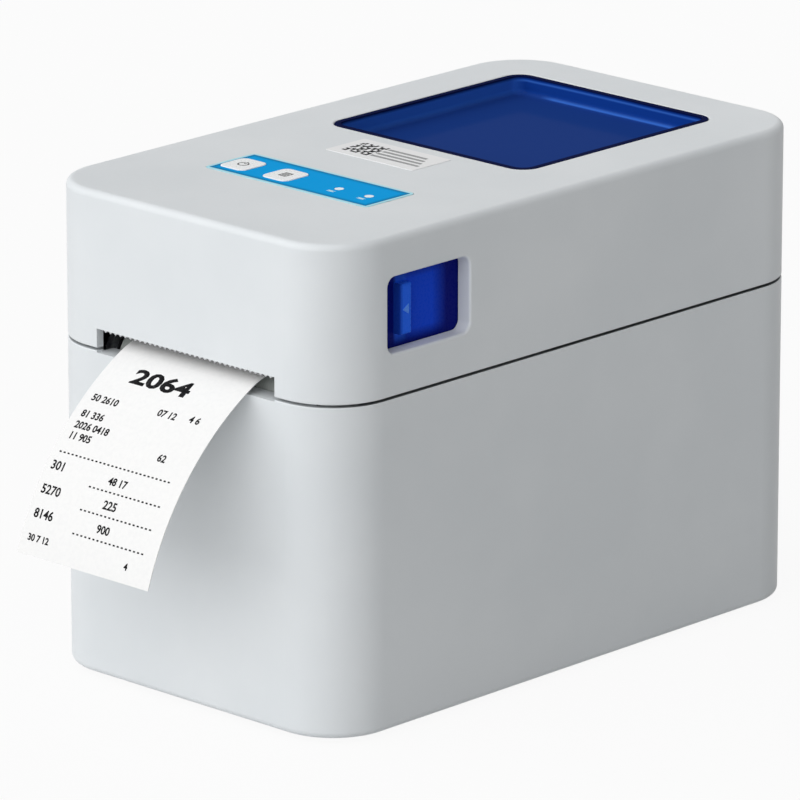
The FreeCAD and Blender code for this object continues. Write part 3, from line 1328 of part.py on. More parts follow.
def outline_middle():
    """Middle of the whole printer from the strip's end to the hinge barrels."""
    near, near_end, far, far_end = web_curl()
    strip_end = curl_point(far, FAR_CURL_R + PAPER_T, far_end)
    return (strip_end.y + REAR + KNUCKLE_R) / 2


os.makedirs("parts", exist_ok=True)
to_origin = V(0, -outline_middle(), 0)
for piece in PIECES:
    shape = piece()
    shape.translate(to_origin)
    shape.exportStep("parts/" + piece.__name__ + ".step")
print("moved along Y by", round(to_origin.y, 4))
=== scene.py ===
import json
import math

import bpy
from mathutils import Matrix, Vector


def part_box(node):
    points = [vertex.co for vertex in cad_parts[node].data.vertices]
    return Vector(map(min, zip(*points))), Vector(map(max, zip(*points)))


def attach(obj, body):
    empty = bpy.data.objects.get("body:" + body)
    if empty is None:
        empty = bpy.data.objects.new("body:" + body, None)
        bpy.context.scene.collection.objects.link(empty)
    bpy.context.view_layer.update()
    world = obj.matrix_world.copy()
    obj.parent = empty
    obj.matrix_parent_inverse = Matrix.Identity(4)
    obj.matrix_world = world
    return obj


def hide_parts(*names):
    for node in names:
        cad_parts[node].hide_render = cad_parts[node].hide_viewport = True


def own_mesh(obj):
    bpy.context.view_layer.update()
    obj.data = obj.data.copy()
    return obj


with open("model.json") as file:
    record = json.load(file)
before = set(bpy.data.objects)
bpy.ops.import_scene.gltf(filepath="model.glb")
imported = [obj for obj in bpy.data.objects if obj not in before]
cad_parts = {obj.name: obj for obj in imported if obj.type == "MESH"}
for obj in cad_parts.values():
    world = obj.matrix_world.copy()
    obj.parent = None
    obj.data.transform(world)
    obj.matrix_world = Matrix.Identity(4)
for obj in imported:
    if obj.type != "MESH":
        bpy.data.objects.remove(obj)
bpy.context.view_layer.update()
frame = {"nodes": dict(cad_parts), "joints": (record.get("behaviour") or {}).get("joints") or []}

node = frame["nodes"]
MM = 0.001


# Housing: two half shells of pale grey-white ABS, injection moulded with a fine eroded grain.
# The upper shell is hinged to the lower one at the rear, and the guides of the side latches and
# the pillars under the roof are made of the same plastic and glued inside it.
SHELL_PALE = (0.775, 0.805, 0.825, 1.0)
SHELL_SHADE = (0.735, 0.768, 0.79, 1.0)
# Painted shade for the parting gap: the rim faces inside the gap are coloured dark, and paler near the front
# where more light gets in.
SHELL_GAP_SHADE = (0.17, 0.18, 0.19, 1.0)
SHELL_GAP_FRONT_SHADE = (0.62, 0.645, 0.66, 1.0)
FRONT_CORNER = 17.0 * MM
HALF_GAP = 0.41 * MM


def new_finish(name, roughness, metallic=0.0):
    finish = bpy.data.materials.new(name)
    finish.use_nodes = True
    shader = finish.node_tree.nodes["Principled BSDF"]
    shader.inputs["Roughness"].default_value = roughness
    shader.inputs["Metallic"].default_value = metallic
    return finish


def add_node(finish, kind, **values):
    made = finish.node_tree.nodes.new(kind)
    for name, value in values.items():
        made.inputs[name.replace("_", " ")].default_value = value
    return made


def wire(finish, start, end):
    finish.node_tree.links.new(start, end)


def shader_input(finish, name):
    return finish.node_tree.nodes["Principled BSDF"].inputs[name]


def object_place(finish, stretch=(1, 1, 1)):
    """Object coordinates in metres, stretched along the axes."""
    coords = add_node(finish, "ShaderNodeTexCoord")
    mapping = add_node(finish, "ShaderNodeMapping", Scale=stretch)
    wire(finish, coords.outputs["Object"], mapping.inputs["Vector"])
    return mapping.outputs["Vector"]


def noise(finish, size, detail=2.0, stretch=(1, 1, 1)):
    """Cloudy pattern whose spots are about the given size in metres."""
    made = add_node(finish, "ShaderNodeTexNoise", Scale=1.0 / size, Detail=detail)
    wire(finish, object_place(finish, stretch), made.inputs["Vector"])
    return made.outputs["Fac"]


def ramp(finish, factor, stops):
    """Colours at places from 0 to 1 along a factor."""
    made = add_node(finish, "ShaderNodeValToRGB")
    line = made.color_ramp.elements
    line[0].position, line[0].color = stops[0]
    line[1].position, line[1].color = stops[-1]
    for place, colour in stops[1:-1]:
        line.new(place).color = colour
    wire(finish, factor, made.inputs["Fac"])
    return made.outputs["Color"]


def spread_of(finish, factor, low, high, start=0.3, end=0.7):
    made = add_node(finish, "ShaderNodeMapRange", From_Min=start, From_Max=end, To_Min=low, To_Max=high)
    wire(finish, factor, made.inputs["Value"])
    return made.outputs["Result"]


def relief(finish, factor, depth):
    """Bump of the given depth in metres."""
    made = add_node(finish, "ShaderNodeBump", Strength=1.0, Distance=depth)
    wire(finish, factor, made.inputs["Height"])
    wire(finish, made.outputs["Normal"], shader_input(finish, "Normal"))


def moulded(name, pale, shade, roughness, grain=0.5 * MM, depth=0.008 * MM):
    """Moulded plastic with faint flow clouds, a fine grain and an uneven sheen."""
    finish = new_finish(name, roughness)
    shader_input(finish, "Specular IOR Level").default_value = 0.22
    clouds = noise(finish, 45 * MM, 3.0)
    wire(finish, ramp(finish, clouds, [(0.35, shade), (0.65, pale)]), shader_input(finish, "Base Color"))
    fine = noise(finish, grain)
    sheen = spread_of(finish, fine, roughness - 0.07, roughness + 0.07)
    wire(finish, sheen, shader_input(finish, "Roughness"))
    relief(finish, fine, depth)
    return finish


def dress(finish, *names):
    for name in names:
        node[name].data.materials.clear()
        node[name].data.materials.append(finish)


def axis_part(finish, vector, axis):
    parts = add_node(finish, "ShaderNodeSeparateXYZ")
    wire(finish, vector, parts.inputs["Vector"])
    return parts.outputs[axis]


def sum_of(finish, operation, first, second):
    """One Math node; a number or another node's output as either value."""
    made = finish.node_tree.nodes.new("ShaderNodeMath")
    made.operation = operation
    for value, socket in ((first, made.inputs[0]), (second, made.inputs[1])):
        if isinstance(value, (int, float)):
            socket.default_value = value
        else:
            wire(finish, value, socket)
    return made.outputs[0]


def two_tone(finish, factor, plain, other):
    """The pattern where the factor is 0 and another colour where it is 1, as the shader's colour."""
    blend = finish.node_tree.nodes.new("ShaderNodeMix")
    blend.data_type = "RGBA"
    colour_a, colour_b = [socket for socket in blend.inputs if socket.type == "RGBA"]
    wire(finish, factor, blend.inputs["Factor"])
    wire(finish, plain, colour_a)
    if isinstance(other, tuple):
        colour_b.default_value = other
    else:
        wire(finish, other, colour_b)
    result = [socket for socket in blend.outputs if socket.type == "RGBA"][0]
    wire(finish, result, shader_input(finish, "Base Color"))
    return result


def joint_named(name):
    return [joint for joint in frame["joints"] if joint["name"] == name][0]


def gap_shaded_shell():
    """The shells' plastic, with painted shade on the rims across the parting gap: dark along the sides and
    paler towards the front.
    """
    finish = moulded("gap_shaded_shell", SHELL_PALE, SHELL_SHADE, 0.42)
    plain = shader_input(finish, "Base Color").links[0].from_socket
    hinge = joint_named("cover_hinge")
    place = object_place(finish)
    off = sum_of(finish, "SUBTRACT", axis_part(finish, place, "Z"), hinge["pos_m"][2])
    in_gap = sum_of(finish, "LESS_THAN", sum_of(finish, "ABSOLUTE", off, 0.0), HALF_GAP)
    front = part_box("base_case")[0].y
    back = spread_of(finish, axis_part(finish, place, "Y"), 0.0, 1.0, front, front + FRONT_CORNER)
    # Painted shade: faces within the gap band get the dark rim colour, paler over the front corner.
    two_tone(finish, in_gap, plain, ramp(finish, back, [(0.05, SHELL_GAP_FRONT_SHADE), (0.8, SHELL_GAP_SHADE)]))
    return finish


dress(gap_shaded_shell(), "base_case", "top_cover")
shell = moulded("shell_plastic", SHELL_PALE, SHELL_SHADE, 0.42)
dress(shell, "cover_posts", "right_latch_guide", "left_latch_guide", "front_deck")


# Window: a shallow tray of deep blue polycarbonate, glossy inside, held by its flange under the roof.
# The rim looks nearly black; the walls are painted lighter than the floor, the rear wall is painted in deeper
# shade, and a painted highlight runs along its foot and top.
# Wall tones are painted light and shade: lighter walls where the lamp leaves them in shade, a darker rear
# wall where it is lit, and a painted highlight band.
TINT_FLOOR = (0.012, 0.047, 0.245, 1.0)
TINT_WALL_PAINTED_LIGHT = (0.028, 0.125, 0.54, 1.0)
TINT_REAR_PAINTED_SHADE = (0.006, 0.045, 0.28, 1.0)
TINT_RIM = (0.002, 0.006, 0.055, 1.0)
TINT_PAINTED_HIGHLIGHT = (0.034, 0.135, 0.54, 1.0)
WINDOW_DEEP = 5.45 * MM
WINDOW_EDGE = 4.8 * MM
FOOT_TALL = 1.0 * MM
FOOT_HALF = 27.0 * MM
FOOT_FADE = 5.0 * MM
FOOT_START = 0.1 * MM
FOOT_FULL = 0.5 * MM
REAR_FULL = 0.2 * MM
REAR_END = 2.6 * MM
WAVE_LONG = 30.0 * MM
WAVE_TALL = 0.6 * MM


def edge_distance(finish, axes, low, high):
    """Distance in metres inside the edges of a box, measured across two axes."""
    place = object_place(finish)
    gaps = []
    for axis in axes:
        index = "XYZ".index(axis)
        middle = (low[index] + high[index]) / 2
        half = (high[index] - low[index]) / 2
        off = sum_of(finish, "SUBTRACT", axis_part(finish, place, axis), middle)
        gaps.append(sum_of(finish, "SUBTRACT", half, sum_of(finish, "ABSOLUTE", off, 0.0)))
    return sum_of(finish, "MINIMUM", gaps[0], gaps[1])


def tray_tint():
    finish = new_finish("blue_window", 0.16)
    low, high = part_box("window")
    place = object_place(finish)
    waves = sum_of(finish, "SUBTRACT", noise(finish, WAVE_LONG), 0.5)
    waves = sum_of(finish, "MULTIPLY", waves, WAVE_TALL)
    height = sum_of(finish, "ADD", axis_part(finish, place, "Z"), waves)
    share = spread_of(finish, height, 0.0, 1.0, high.z - WINDOW_DEEP, high.z)
    walls = ramp(finish, share, [(0.03, TINT_FLOOR), (0.30, TINT_WALL_PAINTED_LIGHT), (0.78, TINT_WALL_PAINTED_LIGHT), (0.95, TINT_RIM)])
    rear_stops = [(0.03, TINT_FLOOR), (0.25, TINT_REAR_PAINTED_SHADE), (0.68, TINT_REAR_PAINTED_SHADE), (0.78, TINT_PAINTED_HIGHLIGHT),
                  (0.86, TINT_REAR_PAINTED_SHADE), (0.95, TINT_RIM)]
    rear_wall = ramp(finish, share, rear_stops)
    from_rear = sum_of(finish, "SUBTRACT", high.y - WINDOW_EDGE, axis_part(finish, place, "Y"))
    walls = two_tone(finish, spread_of(finish, from_rear, 1.0, 0.0, REAR_FULL, REAR_END), walls, rear_wall)
    off = sum_of(finish, "SUBTRACT", axis_part(finish, place, "X"), (low.x + high.x) / 2)
    across = sum_of(finish, "ABSOLUTE", off, 0.0)
    foot = sum_of(finish, "MULTIPLY", spread_of(finish, from_rear, 1.0, 0.0, FOOT_TALL * 0.7, FOOT_TALL),
                  spread_of(finish, from_rear, 0.0, 1.0, FOOT_START, FOOT_FULL))
    middle = spread_of(finish, across, 1.0, 0.0, FOOT_HALF - FOOT_FADE, FOOT_HALF)
    foot = sum_of(finish, "MULTIPLY", foot, middle)
    # Painted highlight along the foot of the rear wall, fading out towards both ends.
    two_tone(finish, foot, walls, TINT_PAINTED_HIGHLIGHT)
    shader_input(finish, "Specular IOR Level").default_value = 0.0
    shader_input(finish, "Coat Weight").default_value = 0.025
    shader_input(finish, "Coat Roughness").default_value = 0.12
    relief(finish, noise(finish, 6 * MM), 0.01 * MM)
    return finish


dress(tray_tint(), "window")


# Side latches: blue slide plates with a pull rib, moulded in the same polycarbonate as the window.
# Each runs in the guide behind the finger recess, and an arrow raised on its rib shows the way to pull.
# Painted light and shade on the plate: the rib is painted lighter, and the ends and the top and bottom
# margins are painted darker, as the recess shades them.
LATCH_MIDDLE = (0.007, 0.062, 0.66, 1.0)
LATCH_RIB_PAINTED_LIGHT = (0.022, 0.135, 0.84, 1.0)
LATCH_PAINTED_SHADE = (0.003, 0.007, 0.17, 1.0)
RIB_FRONT = 9.2 * MM
RIB_WIDE = 4.2 * MM
LATCH_LAP = 2.0 * MM
RECESS_TALL = 21.2 * MM
SHADE_TALL = 3.6 * MM
SHADE_FULL = 0.4 * MM
ARROW_HALF = 1.7 * MM
ARROW_LONG = 1.5 * MM
ARROW_PROUD = 0.25 * MM


def latch_tint():
    finish = new_finish("blue_latch", 0.28)
    low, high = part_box("right_latch")
    along = axis_part(finish, object_place(finish), "Y")
    share = spread_of(finish, along, 0.0, 1.0, low.y, high.y)
    grain = noise(finish, 0.7 * MM)
    rib = RIB_FRONT / (high.y - low.y)
    rib_end = (RIB_FRONT + RIB_WIDE) / (high.y - low.y)
    stops = [(0.05, LATCH_PAINTED_SHADE), (rib - 0.01, LATCH_PAINTED_SHADE), (rib + 0.02, LATCH_RIB_PAINTED_LIGHT), (rib_end - 0.01, LATCH_RIB_PAINTED_LIGHT),
             (rib_end + 0.02, LATCH_MIDDLE), (0.60, LATCH_MIDDLE), (0.74, LATCH_PAINTED_SHADE)]
    half = RECESS_TALL / 2
    off = sum_of(finish, "SUBTRACT", axis_part(finish, object_place(finish), "Z"), high.z - LATCH_LAP - half)
    off = sum_of(finish, "ABSOLUTE", off, 0.0)
    margin = spread_of(finish, off, 0.0, 1.0, half - SHADE_TALL, half - SHADE_FULL)
    # Painted shade along the top and bottom margins of the recess, over painted shade at the ends and painted
    # light on the rib.
    two_tone(finish, margin, ramp(finish, share, stops), LATCH_PAINTED_SHADE)
    wire(finish, spread_of(finish, grain, 0.22, 0.36), shader_input(finish, "Roughness"))
    shader_input(finish, "Specular IOR Level").default_value = 0.03
    relief(finish, grain, 0.004 * MM)
    return finish


blue_latch = latch_tint()
dress(blue_latch, "right_latch", "left_latch")


def deselect():
    bpy.ops.object.select_all(action="DESELECT")


def settle(piece, finish, body):
    """Finish a new piece: place in its mesh, one material, one body."""
    deselect()
    piece.select_set(True)
    bpy.context.view_layer.objects.active = piece
    bpy.ops.object.transform_apply(location=True, rotation=True, scale=True)
    piece.data.materials.clear()
    piece.data.materials.append(finish)
    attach(piece, body)


def copy_of(piece, name):
    """A second piece with its own mesh."""
    deselect()
    piece.select_set(True)
    bpy.context.view_layer.objects.active = piece
    bpy.ops.object.duplicate()
    twin = bpy.context.object
    twin.name = name
    return twin


def pull_arrow():
    """Three-sided raised mark with rounded edges, pointing to -Y and facing +X."""
    deselect()
    bpy.ops.mesh.primitive_circle_add(vertices=3, radius=1.0, fill_type="NGON")
    mark = bpy.context.object
    bpy.ops.object.mode_set(mode="EDIT")
    bpy.ops.mesh.extrude_region_move(TRANSFORM_OT_translate={"value": (0, 0, 1)})
    bpy.ops.mesh.select_all(action="SELECT")
    bpy.ops.mesh.normals_make_consistent(inside=False)
    bpy.ops.mesh.bevel(offset=0.14, segments=2)
    bpy.ops.object.mode_set(mode="OBJECT")
    mark.name = "right_latch_arrow"
    mark.scale = (ARROW_HALF, ARROW_LONG, 2 * ARROW_PROUD)
    mark.rotation_euler = (math.pi / 2, 0, math.pi / 2)
    bpy.ops.object.transform_apply(location=True, rotation=True, scale=True)
    mark.rotation_euler = (math.pi / 2, 0, 0)
    bpy.ops.object.transform_apply(location=True, rotation=True, scale=True)
    return mark


# The arrow is painted paler than the latch, as painted light like the rib it stands on.
pale_blue = moulded("pale_blue", (0.09, 0.30, 0.92, 1.0), (0.07, 0.25, 0.85, 1.0), 0.3)
low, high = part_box("right_latch")
right_arrow = pull_arrow()
left_arrow = copy_of(right_arrow, "left_latch_arrow")
place = Vector((high.x - ARROW_PROUD, low.y + RIB_FRONT + RIB_WIDE / 2, high.z - LATCH_LAP - RECESS_TALL / 2))
right_arrow.location = place
left_arrow.location = (-place.x, place.y, place.z)
left_arrow.rotation_euler = (math.pi, 0, math.pi)
settle(right_arrow, pale_blue, "right_latch")
settle(left_arrow, pale_blue, "left_latch")


# Control panel: a printed cyan film on the roof with a lighter line inside its edge.
# Two white key caps and two light pipes come up through it; the marks in front of the lights are print.
FILM = (0.003, 0.40, 0.90, 1.0)
FILM_EDGE = (0.002, 0.21, 0.46, 1.0)
FILM_LINE = (0.52, 0.88, 0.97, 1.0)
LINE_WIDE = 0.9 * MM
BORDER = 3.0 * MM
INK = (0.006, 0.006, 0.007, 1.0)
INK_LIFT = 0.02 * MM


def panel_print():
    finish = new_finish("panel_film", 0.3)
    inner = edge_distance(finish, "XY", *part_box("control_panel"))
    share = spread_of(finish, inner, 0.0, 1.0, 0.0, BORDER)
    line = LINE_WIDE / BORDER
    stops = [(0.0, FILM_LINE), (line, FILM_LINE), (line + 0.05, FILM_EDGE), (1.0, FILM)]
    wire(finish, ramp(finish, share, stops), shader_input(finish, "Base Color"))
    fine = noise(finish, 0.4 * MM)
    wire(finish, spread_of(finish, fine, 0.24, 0.36), shader_input(finish, "Roughness"))
    shader_input(finish, "Specular IOR Level").default_value = 0.0
    shader_input(finish, "Coat Weight").default_value = 0.03
    relief(finish, fine, 0.003 * MM)
    return finish


dress(panel_print(), "control_panel")
key_white = moulded("key_plastic", (0.95, 0.965, 0.97, 1.0), (0.93, 0.945, 0.95, 1.0), 0.3)
dress(key_white, "power_key", "feed_key")


def light_pipe():
    finish = new_finish("light_pipe", 0.15)
    glow = noise(finish, 1.5 * MM)
    wire(finish, ramp(finish, glow, [(0.3, (0.66, 0.88, 0.95, 1.0)), (0.7, (0.88, 0.96, 0.98, 1.0))]),
         shader_input(finish, "Base Color"))
    shader_input(finish, "Coat Weight").default_value = 0.6
    return finish


dress(light_pipe(), "status_leds")


def ink_finish(name, colour, worn):
    """Flat colour that is a little uneven, for printed ink and for painted shade."""
    finish = new_finish(name, 0.7)
    shader_input(finish, "Specular IOR Level").default_value = 0.08
    patches = noise(finish, 0.8 * MM)
    wire(finish, ramp(finish, patches, [(0.25, worn), (0.5, colour)]), shader_input(finish, "Base Color"))
    return finish


black_ink = ink_finish("black_ink", INK, (0.03, 0.031, 0.033, 1.0))


def select_faces(piece, wanted):
    """In edit mode, with only the wanted faces selected by their middle."""
    bpy.ops.object.mode_set(mode="EDIT")
    bpy.ops.mesh.select_mode(type="FACE")
    bpy.ops.mesh.select_all(action="DESELECT")
    bpy.ops.object.mode_set(mode="OBJECT")
    for face in piece.data.polygons:
        face.select = wanted(face.center)
    bpy.ops.object.mode_set(mode="EDIT")


def drop_faces(piece, unwanted):
    select_faces(piece, unwanted)
    bpy.ops.mesh.delete(type="FACE")
    bpy.ops.object.mode_set(mode="OBJECT")


def ink_sheet(name, size_x, size_y, cuts_x, cuts_y):
    """Flat sheet for ink and for painted shade, in metres round the origin, cut into cells."""
    deselect()
    bpy.ops.mesh.primitive_grid_add(x_subdivisions=cuts_x, y_subdivisions=cuts_y, size=1.0)
    sheet = bpy.context.object
    sheet.name = name
    sheet.scale = (size_x, size_y, 1.0)
    bpy.ops.object.transform_apply(location=True, rotation=True, scale=True)
    return sheet


def thicken(piece, depth):
    deselect()
    piece.select_set(True)
    bpy.context.view_layer.objects.active = piece
    skin = piece.modifiers.new("ink", "SOLIDIFY")
    skin.thickness = depth
    skin.offset = 1.0
    bpy.ops.object.modifier_apply(modifier=skin.name)


def merge(pieces, name):
    deselect()
    for piece in pieces:
        piece.select_set(True)
    bpy.context.view_layer.objects.active = pieces[0]
    bpy.ops.object.join()
    bpy.context.object.name = name
    return bpy.context.object


def ink_ring(radius, band, gap):
    """Open ring of ink with a gap at its top."""
    deselect()
    bpy.ops.mesh.primitive_circle_add(vertices=48, radius=radius, fill_type="NOTHING")
    ring = bpy.context.object
    bpy.ops.object.mode_set(mode="EDIT")
    bpy.ops.mesh.select_all(action="SELECT")
    bpy.ops.mesh.extrude_edges_move()
    share = (radius - band) / radius
    bpy.ops.transform.resize(value=(share, share, 1), center_override=(0, 0, 0))
    bpy.ops.object.mode_set(mode="OBJECT")
    drop_faces(ring, lambda middle: middle.y > 0 and abs(middle.x) < gap)
    return ring


KEY_RING = 1.7 * MM
KEY_STROKE = 0.42 * MM
KEY_RING_GAP = 0.65 * MM
POWER_BAR = 1.8 * MM
POWER_BAR_UP = 1.2 * MM
SHEET_WIDE = 2.8 * MM
SHEET_TALL = 3.4 * MM
SHEET_OPEN = Vector((1.0 * MM, 1.25 * MM))
LINES_WIDE = 1.5 * MM
LINES_TALL = 1.8 * MM
LINE_ROWS = 5

low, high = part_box("power_key")
middle_x = (low.x + high.x) / 2
middle_y = (low.y + high.y) / 2
ring = ink_ring(KEY_RING, KEY_STROKE, KEY_RING_GAP)
bar = ink_sheet("bar", KEY_STROKE, POWER_BAR, 2, 2)
bar.location.y = POWER_BAR_UP
power_mark = merge([ring, bar], "power_key_mark")
thicken(power_mark, INK_LIFT)
power_mark.location += Vector((middle_x, middle_y, high.z))
settle(power_mark, black_ink, "power_key")

low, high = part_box("feed_key")
middle_x = (low.x + high.x) / 2
sheet_mark = ink_sheet("sheet_mark", SHEET_WIDE, SHEET_TALL, 8, 8)
drop_faces(sheet_mark, lambda middle: abs(middle.x) < SHEET_OPEN.x and abs(middle.y) < SHEET_OPEN.y)
lines = ink_sheet("lines", LINES_WIDE, LINES_TALL, 1, LINE_ROWS)
drop_faces(lines, lambda middle: int((middle.y / LINES_TALL + 0.5) * LINE_ROWS) % 2 == 1)
feed_mark = merge([sheet_mark, lines], "feed_key_mark")
thicken(feed_mark, INK_LIFT)
feed_mark.location += Vector((middle_x, middle_y, high.z))
settle(feed_mark, black_ink, "feed_key")

pale_ink = ink_finish("pale_ink", (0.62, 0.88, 0.96, 1.0), (0.45, 0.80, 0.92, 1.0))
low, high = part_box("status_leds")
pipe = (high.y - low.y) / 2
LIGHT_MARK_WIDE = 2.6 * MM
LIGHT_MARK_TALL = 1.1 * MM
LIGHT_MARK_BEFORE = 1.9 * MM
LIGHT_MARK_STEM = 0.6 * MM
ready_mark = ink_sheet("ready_mark", LIGHT_MARK_WIDE, LIGHT_MARK_TALL, 5, 3)
drop_faces(ready_mark, lambda middle: abs(middle.y) < LIGHT_MARK_TALL / 6 and abs(middle.x) > LIGHT_MARK_STEM)
thicken(ready_mark, INK_LIFT)
alarm_mark = copy_of(ready_mark, "alarm_mark")
for light_mark, place in ((ready_mark, low.x + pipe), (alarm_mark, high.x - pipe)):
    light_mark.location = (place, low.y - LIGHT_MARK_BEFORE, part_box("control_panel")[1].z)
    settle(light_mark, pale_ink, "cover")


# Sticker: white polyester film stuck on the roof in front of the window.
# Its print is a plain block of cells and a few grey bars.
BLOCK = 9.6 * MM
BLOCK_CELLS = 12
BLOCK_IN = 3.2 * MM
BAR_ROWS = 4
BAR_LONG = 18.0 * MM
BARS_TALL = 8.4 * MM
BARS_IN = 1.6 * MM

sticker = moulded("sticker_film", (0.90, 0.90, 0.905, 1.0), (0.86, 0.865, 0.87, 1.0), 0.38,
                  0.3 * MM, 0.002 * MM)
dress(sticker, "info_sticker")
low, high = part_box("info_sticker")
cell = BLOCK / BLOCK_CELLS


def blank_cell(middle):
    column = int((middle.x + BLOCK / 2) / cell)
    row = int((middle.y + BLOCK / 2) / cell)
    return (column * column + 3 * row + column * row * row) % 5 > 2


block = ink_sheet("sticker_block", BLOCK, BLOCK, BLOCK_CELLS, BLOCK_CELLS)
drop_faces(block, blank_cell)
thicken(block, INK_LIFT)
block.location = (low.x + BLOCK_IN + BLOCK / 2, (low.y + high.y) / 2, high.z)
settle(block, black_ink, "cover")

grey_ink = ink_finish("grey_ink", (0.36, 0.365, 0.37, 1.0), (0.48, 0.485, 0.49, 1.0))
bars = ink_sheet("sticker_bars", BAR_LONG, BARS_TALL, 15, 2 * BAR_ROWS - 1)
row_tall = BARS_TALL / (2 * BAR_ROWS - 1)


def between_bars(middle):
    row = int((middle.y + BARS_TALL / 2) / row_tall)
    short = (row * 3) % 5 * MM
    return row % 2 == 1 or middle.x > BAR_LONG / 2 - short


drop_faces(bars, between_bars)
thicken(bars, INK_LIFT)
bars.location = (high.x - BARS_IN - BAR_LONG / 2, (low.y + high.y) / 2, high.z)
settle(bars, grey_ink, "cover")


# Tear bar: a toothed strip of stainless steel behind the lip of the upper shell.
# It is cut from sheet and keeps the long rolling marks.
def rolled_metal(name, pale, shade, roughness, stretch, depth=0.004 * MM):
    """Rolled, drawn or plated metal with lines along one axis."""
    finish = new_finish(name, roughness, 1.0)
    lines = noise(finish, 0.5 * MM, 4.0, stretch)
    wire(finish, ramp(finish, lines, [(0.3, shade), (0.7, pale)]), shader_input(finish, "Base Color"))
    sheen = spread_of(finish, lines, roughness - 0.1, roughness + 0.1)
    wire(finish, sheen, shader_input(finish, "Roughness"))
    relief(finish, lines, depth)
    return finish


bright_steel = rolled_metal("bright_steel", (0.66, 0.67, 0.69, 1.0), (0.50, 0.51, 0.53, 1.0), 0.3,
                            (0.05, 1, 1))
dress(bright_steel, "tear_bar")


# Label strip: white thermal paper that comes out under the tear bar and curls down by itself.
# The face has a faint fibre cloud and a low sheen.
PAPER = (0.85, 0.85, 0.845, 1.0)
PAPER_FIBRE = (0.82, 0.822, 0.82, 1.0)


def thermal_paper():
    finish = new_finish("thermal_paper", 0.6)
    fibre = noise(finish, 1.2 * MM, 6.0)
    wire(finish, ramp(finish, fibre, [(0.3, PAPER_FIBRE), (0.6, PAPER)]), shader_input(finish, "Base Color"))
    wire(finish, spread_of(finish, fibre, 0.52, 0.68), shader_input(finish, "Roughness"))
    relief(finish, fibre, 0.003 * MM)
    return finish


paper = thermal_paper()
dress(paper, "label_web")


# Print on the strip: black heat marks in the paper's coating, bent along its curl.
# A bold number heads it, short rows of figures follow, and dashed lines leave room to write.
NEAR_CURL_R = 21.0 * MM
NEAR_CURL = math.radians(28.5)
FAR_CURL_R = 84.0 * MM
PAPER_T = 0.2 * MM
CURL_START = 3.0 * MM
platen_low, platen_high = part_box("platen_roller")
CURL_Y = (platen_low.y + platen_high.y) / 2 - CURL_START
CURL_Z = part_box("label_web")[1].z - PAPER_T


def on_strip(across, along, lift):
    """Point on the strip's face, by its distance along the strip from the start of the curl."""
    angle = min(along / NEAR_CURL_R, NEAR_CURL)
    near_r = NEAR_CURL_R + PAPER_T + lift
    y = CURL_Y - near_r * math.sin(angle)
    z = CURL_Z - NEAR_CURL_R + near_r * math.cos(angle)
    rest = along - NEAR_CURL_R * NEAR_CURL
    if rest > 0:
        far_r = FAR_CURL_R + PAPER_T + lift
        turn = NEAR_CURL + rest / FAR_CURL_R
        y -= far_r * (math.sin(turn) - math.sin(NEAR_CURL))
        z -= far_r * (math.cos(NEAR_CURL) - math.cos(turn))
    return Vector((across, y, z))


def bend_on_strip(piece, across, along):
    """Move a flat mark onto the strip, with its own x across the strip and its y up towards the exit."""
    for vertex in piece.data.vertices:
        flat = vertex.co.copy()
        vertex.co = on_strip(across + flat.x, along - flat.y, flat.z)


def figures(text, height, bold):
    deselect()
    bpy.ops.object.text_add()
    words = bpy.context.object
    words.data.body = text
    words.data.size = height
    words.data.offset = bold
    words.data.resolution_u = 3
    bpy.ops.object.convert(target="MESH")
    return bpy.context.object


DASH_STEP = 1.45 * MM
DASH_TALL = 0.45 * MM


def dashes(length):
    count = int(length / DASH_STEP)
    row = ink_sheet("dashes", length, DASH_TALL, 2 * count - 1, 1)
    step = length / (2 * count - 1)
    drop_faces(row, lambda middle: int((middle.x + length / 2) / step) % 2 == 1)
    return row


HEADING_TALL = 8.6 * MM
HEADING_WIDER = 1.25
HEADING_LOWER = 0.82
HEADING_BOLD = 0.3 * MM
ROW_BOLD = 0.09 * MM
ROW_TALL = 3.0 * MM
marks = []
rows = [
    ("50 2610", -22.0, 28.2, ROW_TALL), ("07 12", 2.5, 27.4, ROW_TALL), ("4 6", 14.0, 26.8, ROW_TALL),
    ("81 336", -22.0, 33.6, ROW_TALL),
    ("2026 0418", -22.0, 37.2, ROW_TALL),
    ("11 905", -22.0, 40.6, ROW_TALL), ("62", 11.5, 40.0, ROW_TALL),
    ("301", -23.0, 50.0, 3.6 * MM), ("48 17", -1.0, 49.9, ROW_TALL),
    ("5270", -23.0, 57.0, 3.6 * MM), ("225", 0.5, 56.6, 3.4 * MM),
    ("8146", -22.6, 63.8, 3.6 * MM), ("900", 1.2, 63.2, 3.2 * MM),
    ("30 7 12", -22.4, 70.2, 2.6 * MM), ("4", 14.5, 70.6, 2.6 * MM),
]
heading = figures("2064", HEADING_TALL, HEADING_BOLD)
heading.data.transform(((HEADING_WIDER, 0, 0, 0), (0, HEADING_LOWER, 0, 0), (0, 0, 1, 0), (0, 0, 0, 1)))
marks.append((heading, -14.0, 19.8))
for text, across, along, tall in rows:
    marks.append((figures(text, tall, ROW_BOLD), across, along))
marks.append((dashes(42.0 * MM), -1.3, 44.8))
for along in (51.9, 58.5, 65.2):
    marks.append((dashes(27.0 * MM), 6.6, along))
for mark, across, along in marks:
    thicken(mark, INK_LIFT)
    bend_on_strip(mark, across * MM, along * MM)
strip_print = merge([mark for mark, across, along in marks], "strip_print")
settle(strip_print, black_ink, "base")


